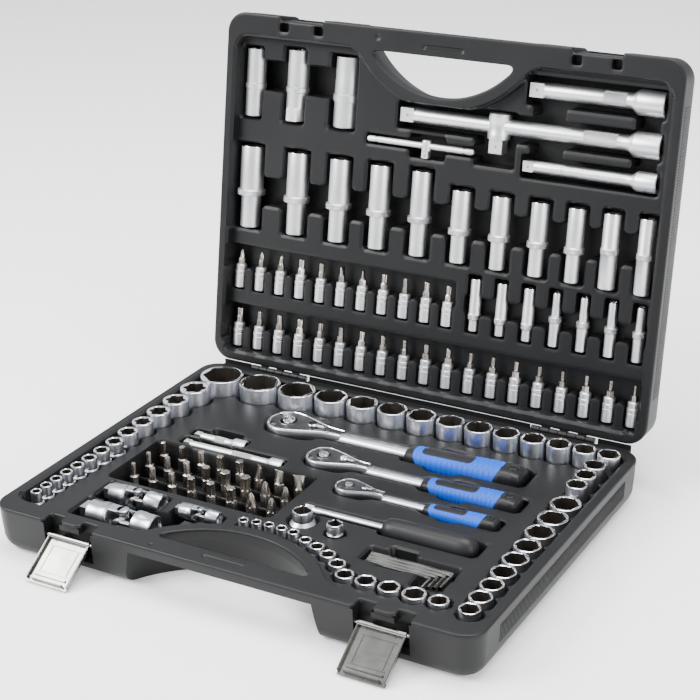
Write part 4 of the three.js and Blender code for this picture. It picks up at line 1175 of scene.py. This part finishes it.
parts = Parts()
for i, (x, d, length) in enumerate(zip(DEEP_X, DEEP_DIAMETERS, DEEP_LENGTHS)):
    z = DEEP_TOP - d / 2
    upper, lower, at_share = (0.84 * d, 0.70 * d, 0.43) if i < 9 else (d - 1.4, d - 1.4, 0.5)
    shape, finish = ringed_socket(d, length, at_share * length, upper, lower, 20, hexagon(upper))
    parts.add(shape, finish, spot(x, lid_y(DEEP_BOTTOM), z, TO_Y, spin=0.2 * i))
piece(
    "deep_sockets", parts, [MATT, BRIGHT, BORE, KNURL], "lid", ["deep_socket_row"], lid_at,
    outward=False,
)

parts = Parts()
for i, x in enumerate(QUARTER_DEEP):
    upper, lower, ring_at = (11.0, 9.6, 14) if i < 3 else (7.9, 10.2, 25)
    shape, finish = ringed_socket(12.2, 50, ring_at, upper, lower, 12, polygon_ring(0.38 * upper, 6))
    parts.add(shape, finish, spot(x, lid_y(75), -16, TO_Y, spin=0.2 * i))
piece(
    "quarter_deep_sockets", parts, [MATT, BRIGHT, BORE, KNURL], "lid", ["quarter_deep_socket_row"],
    lid_at, outward=False,
)

# %% Bit sockets
def bit_socket(kind, size):
    sleeve = loft(
        [
            (0, 5.2), (0.7, 5.9), (12.5, 5.9), (13, 5.4), (13.6, 5.4), (14, 6.0), (17, 6.0), (17.5, 5.4),
            (22.4, 5.4), (23.4, 4.4), (23.4, 3.0),
        ]
    )
    tip = bit_shape(kind, size, 20, shank=3.0)
    return sleeve, tip


kinds_upper = ["cross", "cross", "cross", "star", "hex", "slot", "slot", "star", "star", "star", "star"]
kinds_lower = ["star"] * 7 + ["hex"] * 4 + ["star"] * 8
for name, xs, bottom, kinds_here, node in (
    ("bit_sockets_upper", UPPER_BITS, 75, kinds_upper, "bit_socket_row_upper"),
    ("bit_sockets_lower", LOWER_BITS, 15.5, kinds_lower, "bit_socket_row_lower"),
):
    parts = Parts()
    for i, (x, kind) in enumerate(zip(xs, kinds_here)):
        size = 2.9 - 1.6 * i / len(xs) if name.endswith("lower") else 2.6
        sleeve, tip = bit_socket(kind, size)
        parts.add(sleeve, 0, spot(x, lid_y(bottom), -16, TO_Y))
        parts.add(tip, 1, spot(x, lid_y(bottom + 18), -16, TO_Y, spin=0.3 * i))
    piece(name, parts, [MATT, STEEL], "lid", [node], lid_at)

# %% Spark-plug sockets
for i, (x, d, length) in enumerate(SPARK_PLUGS):
    r = d / 2
    hexed = polygon_ring(r * 0.9, 6)
    if i == 0:
        outside = [
            (0, r - 1.3), (0.8, r - 0.7), (26, r - 0.7), (26.6, r), (31, r), (31.6, r - 0.7),
            (length, r - 0.7),
        ]
    elif i == 1:
        outside = [
            (0, hexed - 0.6), (0.8, hexed), (12, hexed), (13, r - 0.8), (27, r - 0.8), (27.6, r), (32, r),
            (32.6, r - 0.8), (length, r - 0.8),
        ]
    else:
        outside = [
            (0, r - 1.8), (0.8, r - 1.2), (24, r - 1.2), (24.6, r), (31, r), (31.6, r - 1.2), (44, r - 1.2),
            (45, r - 1.4), (length, r - 1.4),
        ]
    rings = [(h, q) for h, q in outside] + [
        (length, r - 3), (length - 1.0, polygon_ring(r * 0.68, 6)),
        (length - 22, polygon_ring(r * 0.66, 6)),
    ]
    parts = Parts()
    faces_of = [0] * RING * (len(rings) - 1) + [0, 2]
    faces_of[(len(outside) - 1) * RING:(len(outside) + 1) * RING] = [1] * (2 * RING)
    faces_of[(len(outside) + 1) * RING:(len(outside) + 2) * RING] = [2] * RING
    parts.add(loft(rings), faces_of, spot(x, lid_y(246), -8.5 - r, TO_Y))
    piece(
        "spark_plug_sleeve_%d" % (i + 1), parts, [MATT, BRIGHT, BORE], "lid",
        ["spark_plug_socket_%d" % (i + 1)], lid_at, outward=False,
    )


# %% [markdown]
# ## Extension and sliding bars
#
# A bar has a square drive with a spring ball at one end and a socket at the other. The thick
# ones have a rolled knurl so that a greasy hand can turn them.

# %% Bars
def extension_rings(length, r, socket_r, square, knurl_from, knurl_to):
    rings = [
        (0, polygon_ring(square - 0.7, 4)), (0.7, polygon_ring(square, 4)),
        (2.2 * square, polygon_ring(square, 4)), (2.2 * square + 0.5, r * 0.96), (2.2 * square + 1.2, r),
        (knurl_from, r), (knurl_from + 0.4, r + 0.35), (knurl_to - 0.4, r + 0.35), (knurl_to, r),
        (length - 3.3 * socket_r, r), (length - 2.7 * socket_r, r * 1.02),
        (length - 2.2 * socket_r, socket_r - 0.4), (length - 2.1 * socket_r, socket_r),
        (length - 0.8, socket_r), (length, socket_r - 0.8), (length, square * 1.5),
        (length - 0.8, polygon_ring(square, 4)), (length - 14, polygon_ring(square * 0.98, 4)),
    ]
    finish = []
    for k in range(len(rings) - 1):
        finish += [1 if k in (5, 6, 7) else 2 if k >= len(rings) - 2 else 0] * RING
    return loft(rings), finish + [0, 2]


def extension_bar(name, node, x, y, z, length, r, socket_r, square, body, at, knurl=(0.45, 0.62)):
    shape, finish = extension_rings(length, r, socket_r, square, knurl[0] * length, knurl[1] * length)
    parts = Parts()
    parts.add(shape, finish, spot(x, y, z, TO_X, spin=math.pi / 4))
    ball = loft([(-1.6, 0.3), (-1.1, 1.1), (0, 1.6), (1.1, 1.1), (1.6, 0.3)])
    parts.add(ball, 3, spot(x + 1.2 * square, y, z + square - 0.5))
    return piece(name, parts, [MATT, KNURL, BORE, STEEL], body, [node], at)


extension_bar(
    "extension_bar_half_inch", "half_inch_extension_125", 82, lid_y(303), -19, 126.5, 7, 11.5, 6.3, "lid",
    lid_at, (0.55, 0.72),
)
extension_bar(
    "extension_bar_three_eighth", "three_eighth_extension_125", 82, lid_y(235), -16.5, 126.5, 5.4, 9, 4.7,
    "lid", lid_at, (0.3, 0.302),
)
extension_bar(
    "sliding_bar_half_inch", "half_inch_slide_bar", -44, lid_y(266.5), -19, 252.5, 7, 11.5, 6.3, "lid",
    lid_at, (0.715, 0.84),
)
extension_bar(
    "extension_bar_quarter_long", "quarter_extension_100", -164, 28, -15, 106, 3.6, 5.8, 3.1, "base",
    base_at, (0.5, 0.7),
)
extension_bar(
    "extension_bar_quarter_short", "quarter_extension_50", -164, 46, -15, 56, 3.6, 5.8, 3.1, "base",
    base_at, (0.4, 0.6),
)

parts = Parts()
parts.add(
    loft(
        [
            (0, 1.6), (0.8, 2.6), (2.5, 3.0), (8.6, 3.0), (9.0, 2.4), (10.2, 2.4), (10.6, 3.0), (98.4, 3.0),
            (98.8, 2.4), (100, 2.4), (100.4, 3.0), (106.5, 3.0), (108.2, 2.6), (109, 1.6),
        ]
    ),
    0, spot(-75, lid_y(240.5), -12, TO_X),
)
piece("sliding_bar_quarter", parts, [MATT], "lid", ["quarter_slide_bar"], lid_at)


def slider(name, node, joint_body, x, v, z, r, square):
    parts = Parts()
    half = 1.75 * r
    parts.add(
        loft(
            [
                (0, 1.2 * r), (0.8, 1.45 * r), (half - r, 1.5 * r), (half - r + 1, 1.42 * r),
                (half + r - 1, 1.42 * r), (half + r, 1.5 * r), (2 * half - 1, 1.45 * r),
                (2 * half, 1.25 * r),
            ]
        ),
        0, spot(x, lid_y(v) - half, z, TO_Y),
    )
    parts.add(
        loft(
            [
                (0, polygon_ring(square / 2 - 0.5, 4)), (0.6, polygon_ring(square / 2, 4)),
                (square + 1, polygon_ring(square / 2, 4)),
            ]
        ),
        0, spot(x, lid_y(v) - half - square, z, TO_Y, spin=math.pi / 4),
    )
    parts.add(
        loft([(-1.6, 0.3), (-1.1, 1.1), (0, 1.6), (1.1, 1.1), (1.6, 0.3)]), 1,
        spot(x, lid_y(v) - half - square * 0.45, z + square / 2 - 0.4),
    )
    return piece(name, parts, [MATT, STEEL], joint_body, [node], lid_at)


slider("t_slider_half_inch", "half_inch_slide_slider", "half_inch_slider", 54, 266.5, -19, 7, 12.7)
slider("t_slider_quarter", "quarter_slide_slider", "quarter_slider", -14, 240.5, -12, 3, 6.35)


# %% [markdown]
# ## Ratchets
#
# The head is a forged oval with a quick-release button and a reversing lever, the shaft tapers
# into a two-colour grip, and every one of those moves or is made apart, so each is its own piece.

# %% Sections along a bar
def ring_loft(rings):
    n = len(rings[0])
    verts = [p for ring in rings for p in ring]
    faces = []
    for k in range(len(rings) - 1):
        faces += ring_quads(k, n)
    faces += [tuple(range(n - 1, -1, -1)), tuple(range((len(rings) - 1) * n, len(rings) * n))]
    return verts, faces


def head_outline(k, inset, count=48):
    """The oval head and its neck, as points round the outline, from the nose at x = 0."""
    xs = np.array([0, 1.2, 4, 9, 15, 21, 29, 37, 45, 53, 62, 72, 80])
    ws = np.array([0, 7.0, 12.6, 17.3, 19.9, 20.5, 19.0, 16.3, 13.5, 10.6, 7.6, 6.5, 6.3])
    t = np.linspace(0, 1, count) ** 1.6 * 78 + 1e-3
    half = np.interp(t, xs, ws) - inset
    half = np.maximum(half, 0.15)
    upper = [(k * (x + inset * (1 if x < 5 else 0)), k * w) for x, w in zip(t, half)]
    return upper + [(x, -w) for x, w in reversed(upper)]


def ratchet(word, r):
    k, x0, (px, py), top = r["k"], r["x0"], r["pivot"], r["top"]
    thick = 16 * k
    parts = Parts()
    levels = [
        (-thick, 1.6), (-thick + 1.2, 0.4), (-thick + 2.4, 0.0), (-2.2, 0.0), (-0.9, 0.5), (-0.1, 1.6),
        (0.0, 2.2), (-0.5, 2.6), (-0.5, 6.0),
    ]
    rings = [[(x0 + x, py + y, top + z) for x, y in head_outline(k, inset)] for z, inset in levels]
    shape = ring_loft(rings)
    n = len(rings[0])
    parts.add(shape, [0] * (n * 5) + [1] * (n * 2) + [2] * n + [0, 2])
    g0, g1 = r["grip"]
    z = r["grip_z"]
    parts.add(
        loft([(0, 5.2 * k), (8 * k, 6.4 * k), (20 * k, 7 * k), (g0 - x0 - 60 * k + 30 * k, 7 * k)]), 0,
        spot(x0 + 60 * k, py, z, TO_X),
    )
    parts.add(
        loft([(0, 9.5 * k), (0.35, 9.2 * k), (0.35, 8.0 * k), (-1.0, 7.4 * k)]), 2, spot(px, py, top - 0.5),
    )
    for sx, sy in ((-10, -11), (-10, 11), (44, -5), (44, 5)):
        screw = loft([(0, 2.1 * k), (0.35, 1.9 * k), (0.35, 1.1 * k), (-0.6, 0.9 * k)])
        parts.add(screw, 3, spot(px + sx * k, py + sy * k, top - 0.5))
    piece(
        word + "_ratchet_head", parts, [SATIN, BRIGHT, PLATE, STEEL], word + "_ratchet",
        [word + "_ratchet_body"], base_at,
    )

    parts = Parts()
    parts.add(
        loft(
            [
                (0, 6.0 * k), (0.3, 6.2 * k), (5.2 * k, 6.2 * k), (6.8 * k, 5.6 * k), (7.2 * k, 4.4 * k),
                (7.0 * k, 2.6 * k), (6.7 * k, 0.6 * k),
            ]
        ),
        0, spot(px, py, top - 5 * k),
    )
    piece(
        word + "_quick_release", parts, [BRIGHT], word + "_button", [word + "_release_button"],
        base_at,
    )

    parts = Parts()
    lx = r["lever_x"]
    parts.add(
        loft([(0, 4.4 * k), (0.4, 4.7 * k), (1.8 * k, 4.7 * k), (2.4 * k, 4.0 * k)]), 0,
        spot(lx, py, top + 0.3),
    )
    parts.add(
        block(lx + 1, lx + 13 * k, py - 2.1 * k, py + 2.1 * k, top + 0.3, top + 0.3 + 2.6 * k, 0.9 * k), 0,
    )
    parts.add(loft([(0, 2.1 * k), (4.6 * k, 2.1 * k)]), 0, spot(lx, py, top - 4 * k))
    piece(
        word + "_direction_lever", parts, [BRIGHT], word + "_lever", [word + "_reverse_lever"],
        base_at,
    )

    parts = Parts()
    low, high = row_box(word + "_ratchet_drive")
    square = DRIVES[word] / 2
    depth = high.z - low.z
    parts.add(
        loft(
            [
                (0, polygon_ring(square - 0.5, 4)), (0.6, polygon_ring(square, 4)),
                (depth - 3 * k - 0.7, polygon_ring(square, 4)), (depth - 3 * k - 0.5, 7.6 * k),
                (depth - 3 * k + 0.6, 7.9 * k), (depth - 0.4, 7.9 * k),
            ]
        ),
        0, spot(px, py, low.z - RIM_Z),
    )
    piece(
        word + "_square_drive", parts, [SATIN], word + "_drive", [word + "_ratchet_drive"],
        base_at,
    )


for word, r in RATCHETS.items():
    ratchet(word, r)

# %% Two-colour grips
GRIP_T = [0, 0.02, 0.08, 0.22, 0.45, 0.68, 0.84, 0.93, 0.98, 1.0]
GRIP_S = [0.58, 0.66, 0.80, 0.84, 0.91, 0.985, 1.0, 0.96, 0.84, 0.60]
AROUND = 104
FINE = 0.55
NAME_PLATE = {"from": 0.14, "to": 0.58, "half": 7.0}
BLUE_FROM, BLUE_TO = 0.07, 0.82


def grip(word, r):
    """A black core with a blue ribbed jacket round it, and a blank name plate on top."""
    k, (px, py) = r["k"], r["pivot"]
    g0, g1 = r["grip"]
    length = g1 - g0
    stations = int(length / FINE)
    phi = np.arange(AROUND) * 2 * math.pi / AROUND
    plate_mid = (NAME_PLATE["from"] + NAME_PLATE["to"]) / 2 * length
    plate_half = (NAME_PLATE["to"] - NAME_PLATE["from"]) / 2 * length

    def jacket(along, a):
        """How far inside the blue jacket a place is, in millimetres."""
        up = np.arctan2(np.cos(a), np.sin(a)) * 13 * k
        curve = 0.012 * up * up / k
        ends = np.minimum(along - BLUE_FROM * length - curve, BLUE_TO * length - curve - along)
        qx = np.abs(along - plate_mid) - plate_half + 5 * k
        qy = np.abs(up) - NAME_PLATE["half"] * k + 5 * k
        plate = np.hypot(np.maximum(qx, 0), np.maximum(qy, 0)) + np.minimum(np.maximum(qx, qy), 0) - 5 * k
        return np.minimum(ends, plate)

    rings, finish = [], []
    rib = 5.2 * k
    for s in range(stations + 1):
        along = s * length / stations
        scale = np.interp(s / stations, GRIP_T, GRIP_S)
        inside = jacket(along, phi)
        wave = math.tanh(2.5 * math.sin(2 * math.pi * along / rib))
        swell = np.where(inside > 0, 1 + 0.016 * wave * np.clip((inside - 1) / 2, 0, 1), 0.985)
        square = 2.35 if s / stations < BLUE_TO else 3.6
        across = np.sign(np.cos(phi)) * np.abs(np.cos(phi)) ** (2 / square)
        upward = np.sign(np.sin(phi)) * np.abs(np.sin(phi)) ** (2 / square)
        y = py + 15 * k * scale * swell * across
        z = r["grip_z"] + 12.4 * k * scale * swell * upward
        rings.append([(g0 + along, b, c) for b, c in zip(y, z)])
        if s < stations:
            half_on = jacket(along + FINE / 2, phi + math.pi / AROUND)
            finish += [0 if d > 0 else 1 for d in half_on]
    parts = Parts()
    parts.add(ring_loft(rings), finish + [1, 1])
    eye = loft(
        [(-2, 4.9 * k), (0.5, 4.7 * k), (0.9, 4.2 * k), (0.9, 3.4 * k), (0.4, 3.0 * k), (-1.5, 2.8 * k)]
    )
    parts.add(eye, 1, spot(g1 - 11 * k, py, r["grip_z"] + 12.4 * k * 0.94))
    return piece(
        word + "_grip", parts, [BLUE, BLACK], word + "_ratchet", [word + "_ratchet_grip"],
        base_at, sharp=50,
    )


for word, r in RATCHETS.items():
    grip(word, r)

# %% Spinner handle
low, high = row_box("spinner_grip")
y, z = (low.y + high.y) / 2, (low.z + high.z) / 2 - RIM_Z
parts = Parts()
flute = 1 - 0.045 * (0.5 + 0.5 * np.cos(6 * ANGLES))
parts.add(
    loft(
        [
            (0, 6.6), (0.8, 7.4), (3.5, 9.6), (7, 10.2), (9, 10.4), (12, 10.6 * flute), (70, 11.0 * flute),
            (75, 10.9), (80, 9.6), (83.6, 6.6), (84.8, 3.2),
        ]
    ),
    0, spot(low.x, y, z, TO_X),
)
piece("spinner_handle_grip", parts, [BLACK], "spinner", ["spinner_grip"], base_at)
low, high = row_box("spinner_shaft")
parts = Parts()
parts.add(
    loft(
        [
            (0, polygon_ring(2.7, 4)), (0.5, polygon_ring(3.1, 4)), (8, polygon_ring(3.1, 4)), (8.6, 3.2),
            (10, 3.4), (high.x - low.x, 3.4),
        ]
    ),
    0, spot(low.x, y, z, TO_X),
)
piece("spinner_handle_shaft", parts, [SATIN], "spinner", ["spinner_shaft"], base_at)


# %% Universal joints
def fork(k, direction, across):
    """A turned end with two ears. Drawn along +X from the joint's centre."""
    parts = Parts()
    face, reach = 12.5 * k, 33 * k
    turn = TO_X if direction > 0 else Matrix.Rotation(math.pi, 4, "Z") @ TO_X
    parts.add(
        loft(
            [
                (face + 0.1 * k, 9.5 * k), (face + 1.0 * k, 11 * k), (face + 2 * k, 11.9 * k),
                (face + 8 * k, 11.9 * k), (face + 9.5 * k, 11.4 * k), (reach - 1, 11.4 * k),
                (reach, 10.6 * k), (reach, 8.2 * k), (reach - 3, 7.6 * k),
            ]
        ),
        0, turn,
    )
    for sign in (-1, 1):
        off = sign * 9 * k
        x1 = (face + 1.5 * k) * direction
        if across == "y":
            parts.add(block(min(0, x1), max(0, x1), off - 2 * k, off + 2 * k, -5.3 * k, 5.3 * k, 1.1 * k), 0)
            parts.add(
                loft([(-2 * k, 4.9 * k), (-1.6 * k, 5.5 * k), (1.6 * k, 5.5 * k), (2 * k, 4.9 * k)]), 0,
                spot(0, off, 0, TO_Y),
            )
        else:
            parts.add(block(min(0, x1), max(0, x1), -5.3 * k, 5.3 * k, off - 2 * k, off + 2 * k, 1.1 * k), 0)
            parts.add(
                loft([(-2 * k, 4.9 * k), (-1.6 * k, 5.5 * k), (1.6 * k, 5.5 * k), (2 * k, 4.9 * k)]), 0,
                spot(0, 0, off),
            )
    return parts


def moved(parts, place):
    out = Parts()
    out.add((np.vstack(parts.verts), parts.faces), parts.finishes, place)
    return out


for word, u in UNIVERSALS.items():
    k, at = u["k"], Matrix.Translation(u["at"])
    square = DRIVES[word] / 2
    first = moved(fork(k, 1, "y"), at)
    piece(
        word + "_joint_socket_end", first, [SATIN], "base", [word + "_joint_socket_fork"],
        base_at,
    )
    second = fork(k, -1, "z")
    drive_end = loft(
        [
            (0, polygon_ring(square, 4)), (9 * k, polygon_ring(square, 4)),
            (9 * k + 0.6, polygon_ring(square - 0.6, 4)),
        ]
    )
    second.add(drive_end, 0, spot(-32 * k, 0, 0, Matrix.Rotation(math.pi, 4, "Z") @ TO_X, spin=math.pi / 4))
    piece(
        word + "_joint_drive_end", moved(second, at), [SATIN], word + "_drive_fork",
        [word + "_joint_drive_fork"], base_at,
    )
    cross = Parts()
    cross.add(block(-4 * k, 4 * k, -4 * k, 4 * k, -4 * k, 4 * k, 1.2 * k), 0)
    pin = loft([(-10.9 * k, 2.0 * k), (-10.6 * k, 2.4 * k), (10.6 * k, 2.4 * k), (10.9 * k, 2.0 * k)])
    cross.add(pin, 0, TO_Y)
    cross.add(pin, 0)
    piece(
        word + "_joint_spider", moved(cross, at), [STEEL], word + "_cross", [word + "_joint_cross"],
        base_at,
    )


# %% Hex keys
def bent_key(x, y, z, t, long, short):
    path = [(x - long, y), (x - 3, y), (x - 1.2, y - 0.4), (x - 0.3, y - 1.2), (x, y - 3), (x, y - short)]
    rings = []
    for i, p in enumerate(path):
        a = path[max(i - 1, 0)]
        b = path[min(i + 1, len(path) - 1)]
        d = Vector((b[0] - a[0], b[1] - a[1], 0)).normalized()
        side_way = Vector((-d.y, d.x, 0))
        ring = []
        for m in range(6):
            q = math.pi * m / 3
            o = side_way * (t * math.cos(q)) + Vector((0, 0, 1)) * (t * math.sin(q))
            ring.append((p[0] + o.x, p[1] + o.y, z + o.z))
        rings.append(ring)
    return ring_loft(rings)


parts = Parts()
for i in range(4):
    t = 1.3 + 0.25 * (3 - i)
    parts.add(bent_key(160 - 4.6 * i, -72 - 4.14 * i, -15, t, 74 - 5 * i, 24 - 2.5 * i), 0)
piece("nested_hex_keys", parts, [NICKEL], "base", ["hex_keys"], base_at, sharp=25)

# %% Pins and latches
for word, sign in (("left", -1), ("right", 1)):
    for kind in ("hinge_pin_", "latch_pin_"):
        low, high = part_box(kind + word)
        low, high = low / MM, high / MM
        length = high.x - low.x
        parts = Parts()
        parts.add(
            loft([(0, 0.8), (0.4, 1.24), (length - 0.4, 1.24), (length, 0.8)]), 0,
            spot(low.x, (low.y + high.y) / 2, (low.z + high.z) / 2 - RIM_Z, TO_X),
        )
        piece(kind + "turned_" + word, parts, [NICKEL], "base", [kind + word], base_at)

LATCH_TURN = -joints["latch_left_hinge"]["range_deg"][0]
for word, sign in (("left", -1), ("right", 1)):
    parts = Parts()
    w, length, sheet, back = 20.8, 43.6, 1.2, -2.7
    parts.add(loft([(0, 2.2), (0.3, 2.6), (2 * w - 0.3, 2.6), (2 * w, 2.2)]), 0, spot(-w, 0, 0, TO_X))
    parts.add(block(-w, w, back, back + sheet, 0, length, 0.5), 0)
    for side_sign in (-1, 1):
        a, b = sorted((side_sign * w, side_sign * (w - 1.3)))
        parts.add(block(a, b, back, 1.6, -1.5, length - 2, 0.5), 0)
        a, b = sorted((side_sign * 12.5, side_sign * 13.7))
        parts.add(block(a, b, back + sheet - 0.2, -0.9, 8, length - 11, 0.25), 0)
    lines = ((7, 8.2, -0.9), (length - 12, length - 10.8, -0.9), (length - 9, length - 7, 0.0))
    for low_edge, high_edge, depth in lines:
        parts.add(block(5 - w, w - 5, back + sheet - 0.2, depth, low_edge, high_edge, 0.25), 0)
    parts.add(block(5 - w, w - 5, back, 2.6, length - 3.8, length - 2.4, 0.4), 0)
    at = base_at @ Matrix.Translation(
        (sign * LATCH_X, LATCH_PIN_Y, LATCH_PIN_Z)
    ) @ Matrix.Rotation(math.radians(LATCH_TURN), 4, "X")
    piece("sprung_latch_" + word, parts, [NICKEL], "latch_" + word, ["latch_" + word], at)


# %% [markdown]
# ## Floor, light and camera
#
# Chrome only looks like chrome when it has bright and dark things to reflect, so two large soft
# lights stand left and above, with a weak one to the right. The floor and the surroundings are
# pale and plain.

# %% Floor and surroundings
floor_mesh = bpy.data.meshes.new("floor")
floor_mesh.from_pydata([(-6, -6, 0), (6, -6, 0), (6, 6, 0), (-6, 6, 0)], [], [(0, 1, 2, 3)])
floor = bpy.data.objects.new("floor", floor_mesh)
bpy.context.scene.collection.objects.link(floor)
floor.location.z = -0.0005
paper, tree, shader, point = new_finish("pale_paper")
fibres = noise_node(tree, point, 40.0, 3.0)
tree.links.new(between(tree, fibres, (0.95, 0.95, 0.95), (0.97, 0.97, 0.97)), shader.inputs["Base Color"])
shader.inputs["Roughness"].default_value = 0.9
shader.inputs["Emission Color"].default_value = (1, 1, 1, 1)
shader.inputs["Emission Strength"].default_value = 0.24
floor_mesh.materials.append(paper)

world = bpy.data.worlds.new("studio")
bpy.context.scene.world = world
world.use_nodes = True
sky = world.node_tree
towards = sky.nodes.new("ShaderNodeSeparateXYZ")
sky.links.new(sky.nodes.new("ShaderNodeTexCoord").outputs["Generated"], towards.inputs[0])
height = math_node(sky, "MULTIPLY_ADD", towards.outputs["Z"], 0.5)
height.node.inputs[2].default_value = 0.5
bands = sky.nodes.new("ShaderNodeValToRGB")
for place, grey in ((0.52, 0.42), (0.60, 0.34), (0.66, 1.15), (0.80, 1.05), (0.88, 0.55)):
    stop = bands.color_ramp.elements.new(place)
    stop.color = (grey * 0.96, grey * 0.98, grey * 1.02, 1)
bands.color_ramp.elements[0].color = (0.9, 0.9, 0.9, 1)
bands.color_ramp.elements[-1].color = (1.0, 1.0, 1.0, 1)
sky.links.new(height, bands.inputs[0])
sky.links.new(bands.outputs[0], sky.nodes["Background"].inputs["Color"])
sky.nodes["Background"].inputs["Strength"].default_value = 1.25


def soft_light(name, place, aim, width, depth, power):
    data = bpy.data.lights.new(name, "AREA")
    data.shape = "RECTANGLE"
    data.size, data.size_y = width, depth
    data.energy = power
    made = bpy.data.objects.new(name, data)
    made.location = place
    made.rotation_euler = (Vector(aim) - Vector(place)).to_track_quat("-Z", "Y").to_euler()
    bpy.context.scene.collection.objects.link(made)
    return made


soft_light("key", (-1.3, -1.0, 1.5), (0, 0.05, 0.1), 1.2, 1.0, 78)
soft_light("top", (0.1, 0.2, 1.9), (0, 0, 0.1), 1.6, 1.0, 60)
soft_light("right", (1.8, -0.5, 0.9), (0, 0.05, 0.15), 0.6, 1.2, 22)

# %% Camera
ROLL = math.radians(-1.07)
eye = Vector((0.6854, -1.1597, 0.7423))
forward = Vector((-0.4525, 0.7992, -0.3958)).normalized()
right = forward.cross(Vector((0, 0, 1))).normalized()
up = right.cross(forward)
right, up = right * math.cos(ROLL) + up * math.sin(ROLL), up * math.cos(ROLL) - right * math.sin(ROLL)
turn = Matrix((right, up, -forward)).transposed().to_4x4()
camera_data = bpy.data.cameras.new("camera")
camera_data.lens = 90.1
camera_data.sensor_width = 36
camera_data.clip_start, camera_data.clip_end = 0.05, 50
camera = bpy.data.objects.new("camera", camera_data)
camera.matrix_world = Matrix.Translation(eye) @ turn
bpy.context.scene.collection.objects.link(camera)
bpy.context.scene.camera = camera
print("camera at", tuple(round(v, 3) for v in eye))
